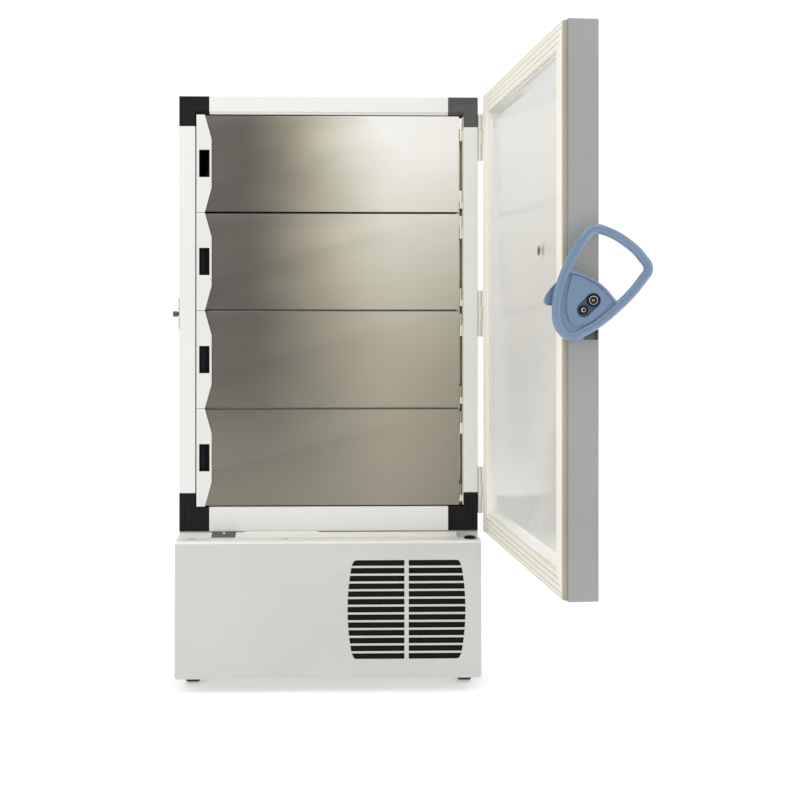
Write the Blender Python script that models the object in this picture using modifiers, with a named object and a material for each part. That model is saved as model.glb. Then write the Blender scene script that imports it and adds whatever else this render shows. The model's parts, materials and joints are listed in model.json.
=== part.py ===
"""Upright ultra-low-temperature freezer: insulated cabinet, open outer door, four inner doors, machine base.

Metres, +Z up. The origin is on the floor, under the middle of the base. The front faces -Y and the
hinges are on the +X side. Pieces on the outer door are modelled with that door shut, and the door's
empty swings them open.
"""

import math

import bmesh
import bpy
from mathutils import Matrix, Vector

# ---- driving dimensions -----------------------------------------------------------------------------------
WIDTH = 1.008
BASE_DEPTH = 0.950
BASE_STEP = 0.104  # the base stands this far in front of the cabinet
CABINET_FLOOR = 0.514
CABINET_HEIGHT = 1.466
GAP = 0.0003  # between pieces that touch

SIDE = WIDTH / 2
BASE_FRONT = -BASE_DEPTH / 2
BACK = BASE_DEPTH / 2
FRONT = BASE_FRONT + BASE_STEP
TOP = CABINET_FLOOR + CABINET_HEIGHT

SHEET = 0.0012  # painted steel sheet
LINER_SHEET = 0.001

# frame round the cabinet's mouth
STRIP_THICK = 0.010
STRIP_LEFT = 0.0535
STRIP_RIGHT = 0.048
STRIP_TOP = 0.0515
STRIP_BOTTOM = 0.0815
LIP = 0.008  # the set-back lip under the top strip
LIP_SETBACK = 0.006
RETURN_THICK = 0.003
RETURN_DEPTH = 0.042
CORNER_ARM = 0.100
CORNER_ARM_LOW = 0.128
SEAM = 0.0005

MOUTH_LEFT = -SIDE + STRIP_LEFT
MOUTH_RIGHT = SIDE - STRIP_RIGHT
MOUTH_TOP = TOP - STRIP_TOP
MOUTH_BOTTOM = CABINET_FLOOR + STRIP_BOTTOM

# storage space
LINER_SIDE = 0.435
LINER_BOTTOM = 0.612
LINER_TOP = 1.905
LINER_FRONT = FRONT + 0.0435
LINER_BACK = 0.350
LINER_FLANGE = 0.012
SHELF_LIP = 0.022

# inner doors
DOOR_COUNT = 4
INNER_BOTTOM = MOUTH_BOTTOM + 0.001
INNER_TOP = MOUTH_TOP - LIP - 0.001
PITCH = (INNER_TOP - INNER_BOTTOM) / DOOR_COUNT
LEAF_GAP = 0.007  # between two stainless leaves
CAP_GAP = 0.0015  # between two white end caps
LEAF_LEFT = -0.4372
LEAF_RIGHT = 0.4406
LEAF_FRONT = FRONT + 0.004
LEAF_BACK = FRONT + 0.040
CAP_LEFT = MOUTH_LEFT + 0.004
CAP_NARROW = 0.0284
CAP_WIDE = 0.051
CAP_SLANT = 0.082
PULL_X = (-0.4369, -0.4026)
PULL_HALF_HEIGHT = 0.0457
PULL_DEPTH = 0.0195
INNER_AXIS = (0.447, FRONT + 0.0065)
KNUCKLE_RADIUS = 0.0045
KNUCKLE = 0.038

# outer door, shut
DOOR_GAP = 0.0005
GASKET_THICK = 0.0145
GASKET_BAND = 0.064
GASKET_INSET = 0.0035
DOOR_THICK = 0.079
DOOR_BOTTOM = CABINET_FLOOR - 0.0051
DOOR_TOP = TOP + 0.0073
DOOR_INNER = FRONT - DOOR_GAP - GASKET_THICK
DOOR_OUTER = DOOR_INNER - DOOR_THICK
DOOR_ANGLE = math.radians(95.0)
HINGE_AXIS = (SIDE + 0.0085, FRONT + 0.006)
HINGE_HEIGHTS = (0.650, 1.248, 1.845)
HINGE_LENGTH = 0.156
BARREL_RADIUS = 0.0075

# handle on the door's free edge
HANDLE_Y = DOOR_OUTER + 0.0276
HANDLE_Z = 1.2723
TUBE_RADIUS = 0.0125
TUBE_STANDOFF = 0.038
WEB_FACE = 0.044
HOOK_THICK = (0.009, 0.019)
STRIKE_Y = FRONT + 0.016
STRIKE_Z = 1.2464
STRIKE_RADIUS = 0.0095
OPEN_TURN = math.radians(27.0)  # from latched to open

# base
COVER_TOP = 0.498
COVER_BOTTOM = 0.0466
COVER_SIDE = 1.0
CHASSIS_FLOOR = 0.100
PIVOT = (0.471, BASE_FRONT + 0.045)
SILL_FRONT = FRONT - 0.038
NOTCH_LEFT = 0.430
FLANGE_BOTTOM = 0.1055
GRILLE_CENTRE = (0.2573, 0.2725)
GRILLE_ROWS = 13
GRILLE_PITCH = 0.02554
GRILLE_SLOT = 0.0184
GRILLE_HALF_WIDTH = 0.1944
GRILLE_BULGE = 0.0177
GRILLE_BAR = 0.0145

# casters
CASTER_X = 0.4605
CASTER_FRONT_Y = BASE_FRONT + 0.163
CASTER_BACK_Y = 0.388
CASTER_TRAIL = 0.028  # the wheels stand forward of their swivels
WHEEL_RADIUS = 0.0375
WHEEL_WIDTH = 0.046

# ---- scene ------------------------------------------------------------------------------------------------
for old in list(bpy.data.objects):
    bpy.data.objects.remove(old)

parts = bpy.data.collections.new("freezer")
cutters = bpy.data.collections.new("cutters")
bpy.context.scene.collection.children.link(parts)
bpy.context.scene.collection.children.link(cutters)


def finish(name, colour, roughness, metallic=0.0):
    """A Principled material."""
    material = bpy.data.materials.new(name)
    material.use_nodes = True
    shader = material.node_tree.nodes["Principled BSDF"]
    shader.inputs["Base Color"].default_value = (*colour, 1.0)
    shader.inputs["Roughness"].default_value = roughness
    shader.inputs["Metallic"].default_value = metallic
    return material


WHITE_PAINT = finish("white_paint", (0.84, 0.84, 0.82), 0.45)
GREY_PAINT = finish("grey_paint", (0.63, 0.63, 0.61), 0.45)
STRIP = finish("strip_plastic", (0.83, 0.83, 0.81), 0.40)
BLACK = finish("black_plastic", (0.02, 0.02, 0.023), 0.50)
STAINLESS = finish("stainless", (0.56, 0.54, 0.49), 0.32, 1.0)
FOAM = finish("foam", (0.86, 0.78, 0.55), 0.9)
GLOSS = finish("gloss_panel", (0.82, 0.82, 0.80), 0.12)
GASKET = finish("gasket", (0.80, 0.76, 0.64), 0.6)
BLUE = finish("blue_plastic", (0.21, 0.34, 0.55), 0.42)
STEEL = finish("plain_steel", (0.45, 0.45, 0.46), 0.35, 1.0)
COPPER_BLACK = finish("compressor_black", (0.03, 0.03, 0.03), 0.4)
ALUMINIUM = finish("aluminium_fins", (0.70, 0.71, 0.72), 0.4, 1.0)
FILTER = finish("filter_mesh", (0.03, 0.03, 0.03), 0.95)
RUBBER = finish("rubber", (0.03, 0.03, 0.03), 0.8)


# ---- modelling helpers ------------------------------------------------------------------------------------
def add(name, mesh, material, parent=None):
    """An object of this mesh. With a parent empty, the mesh is in the empty's unturned world place."""
    obj = bpy.data.objects.new(name, mesh)
    parts.objects.link(obj)
    mesh.materials.clear()
    mesh.materials.append(material)
    if parent:
        obj.parent = parent
        obj.matrix_parent_inverse = Matrix.Translation(-parent.location)
    return obj


def empty(name, place, turn=None, parent=None):
    """An empty on a joint's axis."""
    obj = bpy.data.objects.new(name, None)
    parts.objects.link(obj)
    obj.location = place
    if turn:
        obj.rotation_euler = turn
    if parent:
        obj.parent = parent
        obj.matrix_parent_inverse = Matrix.Translation(-parent.location)
    return obj


def box_mesh(low, high):
    low, high = Vector(low), Vector(high)
    bm = bmesh.new()
    place = Matrix.Translation((low + high) / 2) @ Matrix.Diagonal((*(high - low), 1))
    bmesh.ops.create_cube(bm, size=1, matrix=place)
    return mesh_of(bm)


def mesh_of(bm):
    mesh = bpy.data.meshes.new("mesh")
    bmesh.ops.recalc_face_normals(bm, faces=bm.faces)
    if bm.calc_volume(signed=True) < 0:
        bmesh.ops.reverse_faces(bm, faces=bm.faces)
    bm.to_mesh(mesh)
    bm.free()
    return mesh


def axis_turn(axis):
    """Turns +Z to the axis named."""
    turns = {
        "x": Matrix.Rotation(math.pi / 2, 4, "Y"),
        "y": Matrix.Rotation(-math.pi / 2, 4, "X"),
        "z": Matrix(),
    }
    return turns[axis]


def rod_mesh(centre, radius, length, axis="z", sides=24, top_radius=None):
    bm = bmesh.new()
    bmesh.ops.create_cone(
        bm,
        cap_ends=True,
        segments=sides,
        radius1=radius,
        radius2=radius if top_radius is None else top_radius,
        depth=length,
        matrix=Matrix.Translation(centre) @ axis_turn(axis),
    )
    return mesh_of(bm)


def plate_mesh(outline, low, high, plane="xz"):
    """An outline in the plane named, given thickness from low to high along the third axis."""
    curve = bpy.data.curves.new("outline", "CURVE")
    curve.dimensions = "2D"
    curve.fill_mode = "BOTH"
    curve.extrude = (high - low) / 2
    spline = curve.splines.new("POLY")
    spline.points.add(len(outline) - 1)
    for point, (a, b) in zip(spline.points, outline):
        point.co = (a, b, 0, 1)
    spline.use_cyclic_u = True
    middle = (low + high) / 2
    turns = {
        "xy": Matrix.Translation((0, 0, middle)),
        "xz": Matrix.Translation((0, middle, 0)) @ Matrix.Rotation(math.pi / 2, 4, "X"),
        "yz": Matrix.Translation((middle, 0, 0)) @ Matrix(
            ((0, 0, 1, 0), (1, 0, 0, 0), (0, 1, 0, 0), (0, 0, 0, 1))
        ),
    }
    return solid_from_curve(curve, turns[plane])


def solid_from_curve(curve, place):
    """The curve's evaluated mesh with its caps welded, moved to its place."""
    obj = bpy.data.objects.new("curve", curve)
    bpy.context.scene.collection.objects.link(obj)
    bpy.context.view_layer.update()
    graph = bpy.context.evaluated_depsgraph_get()
    mesh = bpy.data.meshes.new_from_object(obj.evaluated_get(graph))
    bpy.data.objects.remove(obj)
    bm = bmesh.new()
    bm.from_mesh(mesh)
    bmesh.ops.remove_doubles(bm, verts=bm.verts, dist=1e-5)
    bm.transform(place)
    return mesh_of(bm)


def rings_mesh(rings, closed=False):
    """Joins rectangles (x half width or pair, low z, high z, y) one after another, with caps unless
    closed."""
    bm = bmesh.new()
    loops = []
    for x0, x1, z0, z1, y in rings:
        loops.append([bm.verts.new(p) for p in ((x0, y, z0), (x1, y, z0), (x1, y, z1), (x0, y, z1))])
    pairs = list(zip(loops, loops[1:]))
    if closed:
        pairs.append((loops[-1], loops[0]))
    for near, far in pairs:
        for i in range(4):
            j = (i + 1) % 4
            bm.faces.new((near[i], near[j], far[j], far[i]))
    if not closed:
        bm.faces.new(loops[0])
        bm.faces.new(loops[-1])
    return mesh_of(bm)


def tub_mesh(low, high, open_side, flange=0.0):
    """An open box surface. open_side is '-y' or '+y'. A flange turns the open rim outwards, or inwards if
    negative."""
    bm = bmesh.new()
    low, high = Vector(low), Vector(high)
    place = Matrix.Translation((low + high) / 2) @ Matrix.Diagonal((*(high - low), 1))
    bmesh.ops.create_cube(bm, size=1, matrix=place)
    rim = low.y if open_side == "-y" else high.y
    mouth = [f for f in bm.faces if all(abs(v.co.y - rim) < 1e-6 for v in f.verts)]
    bmesh.ops.delete(bm, geom=mouth, context="FACES_ONLY")
    if flange:
        edges = [e for e in bm.edges if all(abs(v.co.y - rim) < 1e-6 for v in e.verts)]
        made = bmesh.ops.extrude_edge_only(bm, edges=edges)["geom"]
        middle = (low + high) / 2
        for v in (g for g in made if isinstance(g, bmesh.types.BMVert)):
            v.co.x += flange * math.copysign(1, v.co.x - middle.x)
            v.co.z += flange * math.copysign(1, v.co.z - middle.z)
    return mesh_of(bm)


def strip_mesh(path, x0, x1):
    """An open sheet: a path of (y, z) points drawn out along X."""
    bm = bmesh.new()
    near = [bm.verts.new((x0, y, z)) for y, z in path]
    far = [bm.verts.new((x1, y, z)) for y, z in path]
    for i in range(len(path) - 1):
        bm.faces.new((near[i], near[i + 1], far[i + 1], far[i]))
    mesh = bpy.data.meshes.new("sheet")
    bm.to_mesh(mesh)
    bm.free()
    return mesh


def lathe(name, profile, place, material, steps=24, parent=None):
    """Turns a profile of (radius, z) points, listed from the top down its outer side, about Z."""
    mesh = bpy.data.meshes.new("profile")
    points = [(r, 0, z) for r, z in profile]
    mesh.from_pydata(points, [(i, i + 1) for i in range(len(points) - 1)], [])
    obj = add(name, mesh, material, parent)
    obj.location = place
    screw = obj.modifiers.new("turn", "SCREW")
    screw.steps = screw.render_steps = steps
    screw.use_merge_vertices = True
    screw.merge_threshold = 1e-5
    return obj


def thicken(obj, thickness, offset=-1.0):
    solid = obj.modifiers.new("thickness", "SOLIDIFY")
    solid.thickness = thickness
    solid.offset = offset
    solid.use_even_offset = True
    return obj


def bevel(obj, width, segments=2, angle=40):
    rounding = obj.modifiers.new("edges", "BEVEL")
    rounding.width = width
    rounding.segments = segments
    rounding.limit_method = "ANGLE"
    rounding.angle_limit = math.radians(angle)
    return obj


def boolean(obj, mesh, operation):
    """Joins a mesh to the object, or cuts it away. The helper moves with the object's parent."""
    helper = add(obj.name + "_" + operation.lower(), mesh, obj.data.materials[0], obj.parent)
    parts.objects.unlink(helper)
    cutters.objects.link(helper)
    helper.hide_render = True
    helper.display_type = "WIRE"
    step = obj.modifiers.new(operation.lower(), "BOOLEAN")
    step.operation = operation
    step.object = helper
    return helper


def join(obj, *meshes):
    for mesh in meshes:
        boolean(obj, mesh, "UNION")
    return obj


def cut(obj, *meshes):
    for mesh in meshes:
        boolean(obj, mesh, "DIFFERENCE")
    return obj


def box(name, low, high, material, parent=None):
    return add(name, box_mesh(low, high), material, parent)


def arc(centre, radius, start, end, steps):
    """Points on an arc, angles in degrees."""
    points = []
    for i in range(steps + 1):
        angle = math.radians(start + (end - start) * i / steps)
        points.append((centre[0] + radius * math.cos(angle), centre[1] + radius * math.sin(angle)))
    return points


# ---- cabinet ----------------------------------------------------------------------------------------------
def build_cabinet():
    shell_front = FRONT + STRIP_THICK + GAP
    shell = tub_mesh((-SIDE, shell_front, CABINET_FLOOR), (SIDE, BACK, TOP), "-y")
    thicken(add("cabinet_shell", shell, WHITE_PAINT), SHEET)

    inside = SHEET + GAP
    foam = box(
        "cabinet_insulation",
        (-SIDE + inside, shell_front + 0.0002, CABINET_FLOOR + inside),
        (SIDE - inside, BACK - inside, TOP - inside),
        FOAM,
    )
    wall = LINER_SHEET + GAP
    rabbet = box_mesh(
        (MOUTH_LEFT - RETURN_THICK - GAP, FRONT - 0.05, MOUTH_BOTTOM - RETURN_THICK - GAP),
        (MOUTH_RIGHT + RETURN_THICK + GAP, LINER_FRONT + 0.0028, MOUTH_TOP + 0.001 + GAP),
    )
    space = box_mesh(
        (-LINER_SIDE - wall, FRONT - 0.05, LINER_BOTTOM - wall),
        (LINER_SIDE + wall, LINER_BACK + wall, LINER_TOP + wall),
    )
    cut(foam, rabbet, space)

    liner = tub_mesh(
        (-LINER_SIDE, LINER_FRONT, LINER_BOTTOM), (LINER_SIDE, LINER_BACK, LINER_TOP), "-y", LINER_FLANGE
    )
    thicken(add("inner_liner", liner, STAINLESS), LINER_SHEET, 1.0)

    for i in range(1, DOOR_COUNT):
        level = INNER_BOTTOM + i * PITCH
        shelf = thicken(add(f"shelf_{i}", shelf_mesh(level), STAINLESS), SHEET)
        shelf.modifiers["thickness"].offset = -1.0


def shelf_mesh(level):
    """A tray turned down at its four edges."""
    bm = bmesh.new()
    low = Vector((-LINER_SIDE + 0.001, LINER_FRONT + 0.003, level - SHELF_LIP))
    high = Vector((LINER_SIDE - 0.001, LINER_BACK - 0.001, level))
    place = Matrix.Translation((low + high) / 2) @ Matrix.Diagonal((*(high - low), 1))
    bmesh.ops.create_cube(bm, size=1, matrix=place)
    under = [f for f in bm.faces if all(abs(v.co.z - low.z) < 1e-6 for v in f.verts)]
    bmesh.ops.delete(bm, geom=under, context="FACES_ONLY")
    return mesh_of(bm)


def build_frame_strips():
    """Four plastic strips and four black corners round the mouth, each with a return into the cabinet."""
    y0, y1, y2 = FRONT, FRONT + STRIP_THICK, FRONT + RETURN_DEPTH
    left, right = -SIDE + CORNER_ARM + SEAM, SIDE - CORNER_ARM - SEAM
    top, bottom = TOP - CORNER_ARM - SEAM, CABINET_FLOOR + CORNER_ARM_LOW + SEAM

    strip = box("breaker_top", (left, y0, MOUTH_TOP), (right, y1, TOP), STRIP)
    join(strip, box_mesh((left, y0 + LIP_SETBACK, MOUTH_TOP - LIP), (right, y2, MOUTH_TOP + 0.001)))
    strip = box("breaker_bottom", (left, y0, CABINET_FLOOR), (right, y1, MOUTH_BOTTOM), STRIP)
    join(strip, box_mesh((left, y0 + 0.001, MOUTH_BOTTOM - RETURN_THICK), (right, y2, MOUTH_BOTTOM)))
    strip = box("breaker_left", (-SIDE, y0, bottom), (MOUTH_LEFT, y1, top), STRIP)
    join(strip, box_mesh((MOUTH_LEFT - RETURN_THICK, y0 + 0.001, bottom), (MOUTH_LEFT, y2, top)))
    strip = box("breaker_right", (MOUTH_RIGHT, y0, bottom), (SIDE, y1, top), STRIP)
    join(strip, box_mesh((MOUTH_RIGHT, y0 + 0.001, bottom), (MOUTH_RIGHT + RETURN_THICK, y2, top)))

    for across, mouth_x in ((-1, MOUTH_LEFT), (1, MOUTH_RIGHT)):
        outer = across * SIDE
        arm_end = across * (SIDE - CORNER_ARM)
        side_name = "left" if across < 0 else "right"
        for up, level, mouth_z, reach in (
            (1, TOP, MOUTH_TOP, CORNER_ARM),
            (-1, CABINET_FLOOR, MOUTH_BOTTOM, CORNER_ARM_LOW),
        ):
            end_z = level - up * reach
            outline = [
                (outer, level),
                (arm_end, level),
                (arm_end, mouth_z),
                (mouth_x, mouth_z),
                (mouth_x, end_z),
                (outer, end_z),
            ]
            name = f"corner_{'top' if up > 0 else 'bottom'}_{side_name}"
            corner = add(name, plate_mesh(outline, y0, y1), BLACK)
            returns = [
                sorted_box((mouth_x, mouth_x + across * RETURN_THICK), (y0 + 0.001, y2), (mouth_z, end_z))
            ]
            if up > 0:
                inner = (mouth_z + 0.001, mouth_z - LIP)
                returns.append(
                    sorted_box((mouth_x + across * 0.001, arm_end), (y0 + LIP_SETBACK, y2), inner)
                )
            else:
                inner = (mouth_z, mouth_z - RETURN_THICK)
                returns.append(
                    sorted_box((mouth_x + across * RETURN_THICK, arm_end), (y0 + 0.001, y2), inner)
                )
            join(corner, *returns)


def sorted_box(xs, ys, zs):
    return box_mesh((min(xs), min(ys), min(zs)), (max(xs), max(ys), max(zs)))


def build_strike():
    """The roller that the latch hook takes hold of, on a plate on the cabinet's left side."""
    face = -SIDE - GAP
    plate = box(
        "latch_strike",
        (face - SHEET, STRIKE_Y - 0.015, STRIKE_Z - 0.052),
        (face, STRIKE_Y + 0.015, STRIKE_Z + 0.052),
        STEEL,
    )
    neck = rod_mesh((-SIDE - 0.0045, STRIKE_Y, STRIKE_Z), 0.0065, 0.007, "x", 16)
    roller = rod_mesh((-SIDE - 0.01475, STRIKE_Y, STRIKE_Z), STRIKE_RADIUS, 0.0145, "x", 24)
    screws = [
        rod_mesh((-SIDE - 0.0020, STRIKE_Y, STRIKE_Z + offset), 0.005, 0.0032, "x", 12)
        for offset in (-0.043, -0.0195, 0.0195, 0.045)
    ]
    join(plate, neck, roller, *screws)


# ---- inner doors ------------------------------------------------------------------------------------------
def knuckle_levels(top):
    """(door knuckle low, frame knuckle low, frame knuckle height) of a door's two hinges, from its top
    edge."""
    upper = top - 0.010 - KNUCKLE
    lower = top - 0.255 - KNUCKLE
    return ((upper, upper - 0.0005 - KNUCKLE, KNUCKLE), (lower, lower - 0.0005 - 0.022, 0.022))


def build_inner_doors():
    x, y = INNER_AXIS
    rail = box(
        "inner_hinge_rail",
        (0.4525, FRONT + 0.003, INNER_BOTTOM + 0.004),
        (0.4555, FRONT + 0.030, INNER_TOP - 0.004),
        STRIP,
    )
    for i in range(DOOR_COUNT):
        top = INNER_TOP - i * PITCH
        bottom = top - PITCH
        pivot = empty(f"inner_door_pivot_{i + 1}", (x, y, bottom))
        build_inner_door(i + 1, bottom, top, pivot)
        for door_low, frame_low, height in knuckle_levels(top):
            middle = frame_low + height / 2
            join(
                rail,
                rod_mesh((x, y, middle), KNUCKLE_RADIUS, height, "z", 12),
                box_mesh(
                    (x, y - 0.0015, frame_low + 0.001), (0.4535, y + 0.0015, frame_low + height - 0.001)
                ),
                rod_mesh((x, y, frame_low + height + 0.014), 0.002, 0.034, "z", 8),
            )


def build_inner_door(number, bottom, top, pivot):
    x, y = INNER_AXIS
    low, high = bottom + LEAF_GAP / 2, top - LEAF_GAP / 2
    middle = (low + high) / 2
    leaf = box(
        f"inner_door_{number}", (LEAF_LEFT, LEAF_FRONT, low), (LEAF_RIGHT, LEAF_BACK, high), STAINLESS, pivot
    )
    pocket = box_mesh(
        (LEAF_LEFT - 0.02, FRONT - 0.01, middle - PULL_HALF_HEIGHT - GAP),
        (PULL_X[1] + GAP, FRONT + PULL_DEPTH + GAP, middle + PULL_HALF_HEIGHT + GAP),
    )
    cut(leaf, pocket)
    for door_low, _, _ in knuckle_levels(top):
        centre = door_low + KNUCKLE / 2
        join(
            leaf,
            box_mesh(
                (LEAF_RIGHT - 0.002, y - 0.0015, door_low + 0.001),
                (x, y + 0.0015, door_low + KNUCKLE - 0.001),
            ),
            rod_mesh((x, y, centre), KNUCKLE_RADIUS, KNUCKLE, "z", 12),
        )
        cut(leaf, rod_mesh((x, y, door_low + 0.015), 0.0025, 0.036, "z", 12))

    cap_low, cap_high = bottom + CAP_GAP / 2, top - CAP_GAP / 2
    narrow, wide = CAP_LEFT + CAP_NARROW, CAP_LEFT + CAP_WIDE
    outline = [
        (CAP_LEFT, cap_low),
        (narrow, cap_low),
        (wide, cap_low + CAP_SLANT),
        (wide, cap_high - CAP_SLANT),
        (narrow, cap_high),
        (CAP_LEFT, cap_high),
    ]
    cap = add(
        f"inner_door_cap_{number}", plate_mesh(outline, FRONT + 0.0005, LEAF_FRONT - GAP), STRIP, pivot
    )
    join(cap, box_mesh((CAP_LEFT, FRONT + 0.001, cap_low), (LEAF_LEFT - GAP, LEAF_BACK, cap_high)))
    cut(
        cap,
        box_mesh(
            (PULL_X[0] - GAP, FRONT - 0.01, middle - PULL_HALF_HEIGHT - GAP),
            (PULL_X[1] + GAP, LEAF_BACK + 0.01, middle + PULL_HALF_HEIGHT + GAP),
        ),
    )

    pull = box(
        f"inner_door_pull_{number}",
        (PULL_X[0], FRONT + 0.0002, middle - PULL_HALF_HEIGHT),
        (PULL_X[1], FRONT + PULL_DEPTH, middle + PULL_HALF_HEIGHT),
        BLACK,
        pivot,
    )
    hollow = [
        (PULL_X[0] + 0.0022, FRONT - 0.004),
        (PULL_X[1] - 0.0030, FRONT - 0.004),
        (PULL_X[1] - 0.0030, FRONT + 0.0035),
        (PULL_X[0] + 0.0180, FRONT + PULL_DEPTH - 0.0020),
        (PULL_X[0] + 0.0022, FRONT + PULL_DEPTH - 0.0020),
    ]
    cut(
        pull,
        plate_mesh(hollow, middle - PULL_HALF_HEIGHT + 0.0022, middle + PULL_HALF_HEIGHT - 0.0022, "xy"),
    )


# ---- outer door -------------------------------------------------------------------------------------------
def door_ring(inset, y):
    return (-SIDE + inset, SIDE - inset, DOOR_BOTTOM + inset, DOOR_TOP - inset, y)


def build_outer_door(door):
    skin = tub_mesh((-SIDE, DOOR_OUTER, DOOR_BOTTOM), (SIDE, DOOR_INNER, DOOR_TOP), "+y", -0.014)
    skin = thicken(add("door_skin", skin, GREY_PAINT, door), SHEET)
    inside = SHEET + GAP
    recess = DOOR_INNER - 0.0085
    box(
        "door_core",
        (-SIDE + inside, DOOR_OUTER + inside, DOOR_BOTTOM + inside),
        (SIDE - inside, recess - GAP, DOOR_TOP - inside),
        FOAM,
        door,
    )
    edge = GASKET_INSET + GASKET_BAND + 0.0005
    panel = rings_mesh(
        [
            door_ring(edge, recess),
            door_ring(edge, DOOR_INNER + 0.0062),
            door_ring(edge + 0.008, DOOR_INNER + 0.0070),
            door_ring(edge + 0.030, DOOR_INNER - 0.0045),
        ]
    )
    add("door_panel", panel, GLOSS, door)
    add("door_gasket", gasket_mesh(), GASKET, door)
    control = box(
        "control_panel",
        (-0.130, DOOR_OUTER - 0.0032, 1.400),
        (0.130, DOOR_OUTER - GAP, 1.560),
        BLACK,
        door,
    )
    bevel(control, 0.0015)


def gasket_mesh():
    """A band of four soft ridges round the door, its back on the door and its ridges towards the cabinet."""
    back = DOOR_INNER + GAP
    crest, valley = DOOR_INNER + GASKET_THICK, DOOR_INNER + GASKET_THICK - 0.005
    ridges = 4
    pitch = GASKET_BAND / ridges
    rings = [door_ring(GASKET_INSET, back), door_ring(GASKET_INSET, valley)]
    for i in range(ridges):
        start = GASKET_INSET + i * pitch
        rings += [door_ring(start + pitch * share, crest) for share in (0.25, 0.70)]
        if i < ridges - 1:
            rings.append(door_ring(start + pitch, valley))
    end = GASKET_INSET + GASKET_BAND
    rings += [door_ring(end, valley), door_ring(end, back)]
    return rings_mesh(rings, closed=True)


def build_outer_hinges(door):
    """Butt hinges on the cabinet's and the door's right side. The pin belongs to the cabinet's leaf."""
    x, y = HINGE_AXIS
    leaf_x = (SIDE + GAP, SIDE + GAP + 0.002)
    third = HINGE_LENGTH / 3
    for number, height in enumerate(HINGE_HEIGHTS, 1):
        low, high = height - HINGE_LENGTH / 2, height + HINGE_LENGTH / 2
        fixed = box(
            f"hinge_cabinet_leaf_{number}",
            (leaf_x[0], y + BARREL_RADIUS, low),
            (leaf_x[1], y + 0.055, high),
            WHITE_PAINT,
        )
        for start in (low, high - third + 0.0005):
            end = start + third - 0.0005
            join(
                fixed,
                box_mesh((leaf_x[0], y, start), (leaf_x[1], y + BARREL_RADIUS + 0.001, end)),
                rod_mesh((x, y, (start + end) / 2), BARREL_RADIUS, end - start, "z", 20),
            )
        join(fixed, rod_mesh((x, y, height), 0.004, HINGE_LENGTH - 0.01, "z", 16))
        swung = box(
            f"hinge_door_leaf_{number}",
            (leaf_x[0], y - 0.088, low),
            (leaf_x[1], y - BARREL_RADIUS, high),
            WHITE_PAINT,
            door,
        )
        start, end = low + third + 0.0005, high - third - 0.0005
        join(
            swung,
            box_mesh((leaf_x[0], y - BARREL_RADIUS - 0.001, start), (leaf_x[1], y, end)),
            rod_mesh((x, y, height), BARREL_RADIUS, end - start, "z", 20),
        )
        cut(swung, rod_mesh((x, y, height), 0.0044, HINGE_LENGTH, "z", 16))


# ---- handle -----------------------------------------------------------------------------------------------
# Points on the handle are (out, up): out is away from the cabinet, up is +Z, both from the handle's pivot.
LOOP_POINTS = (
    (-0.014, 0.166),
    (0.004, 0.179),
    (0.030, 0.175),
    (0.091, 0.143),
    (0.128, 0.108),
    (0.144, 0.079),
    (0.131, 0.056),
    (0.057, -0.023),
    (-0.017, -0.075),
    (-0.056, -0.089),
    (-0.083, -0.069),
    (-0.092, -0.022),
    (-0.077, 0.051),
    (-0.044, 0.120),
)
WEB_LOWER = slice(7, 13)  # the loop's points that the web reaches
WEB_EDGE = (
    (-0.064, 0.073), (-0.051, 0.070), (-0.022, 0.061), (0.008, 0.0445), (0.031, 0.026), (0.053, 0.001),
    (0.068, -0.011),
)


def edge_place(out, up, standoff):
    """The world place, with the door shut, of a point at this standoff from the door's free edge."""
    return (-SIDE - standoff, HANDLE_Y - out, HANDLE_Z + up)


def edge_plate(points, near, far):
    """A plate parallel to the door's free edge, from one standoff to another."""
    outline = [(HANDLE_Y - out, HANDLE_Z + up) for out, up in points]
    return plate_mesh(outline, -SIDE - far, -SIDE - near, "yz")


def loop_curve(resolution):
    """The closed centre line of the handle's loop, as a Bezier curve."""
    curve = bpy.data.curves.new("loop", "CURVE")
    curve.dimensions = "3D"
    curve.resolution_u = resolution
    spline = curve.splines.new("BEZIER")
    spline.bezier_points.add(len(LOOP_POINTS) - 1)
    for point, (out, up) in zip(spline.bezier_points, LOOP_POINTS):
        point.co = edge_place(out, up, TUBE_STANDOFF)
        point.handle_left_type = point.handle_right_type = "AUTO"
    spline.use_cyclic_u = True
    return curve


def loop_outline():
    """Points round the lower loop, from one end of the web's free edge to the other."""
    return list(LOOP_POINTS[WEB_LOWER])


def polar(radius, degrees):
    return radius * math.cos(math.radians(degrees)), radius * math.sin(math.radians(degrees))


def hook_outline():
    """The latch hook with the handle open. Its mouth is concentric with the pivot and closes over the
    roller."""
    opened = -math.degrees(OPEN_TURN)
    reach = math.hypot(HANDLE_Y - STRIKE_Y, HANDLE_Z - STRIKE_Z)
    strike = 180 + math.degrees(math.atan2(HANDLE_Z - STRIKE_Z, STRIKE_Y - HANDLE_Y))
    clear = STRIKE_RADIUS + 0.0013
    inner, outer = reach - clear, reach + clear
    mouth_top = strike - math.degrees(clear / reach)
    latched = [
        (0.020, strike - 60), (0.075, strike - 26), (outer + 0.002, strike - 17), (outer + 0.010, strike - 6)
    ]
    latched += [(outer + 0.018, strike + 3), (outer + 0.022, strike + 11), (outer + 0.015, strike + 15.5)]
    latched += [(outer + 0.004, strike + 17)]
    latched += [(outer, strike + 15 - step * (13 + strike - mouth_top) / 4) for step in range(5)]
    latched += [(reach, mouth_top)]
    latched += [(inner, mouth_top + 2 + step * (strike + 9 - mouth_top - 2) / 4) for step in range(5)]
    latched += [(0.050, strike + 22), (0.020, strike + 60)]
    return [polar(radius, angle + opened) for radius, angle in latched]


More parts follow.
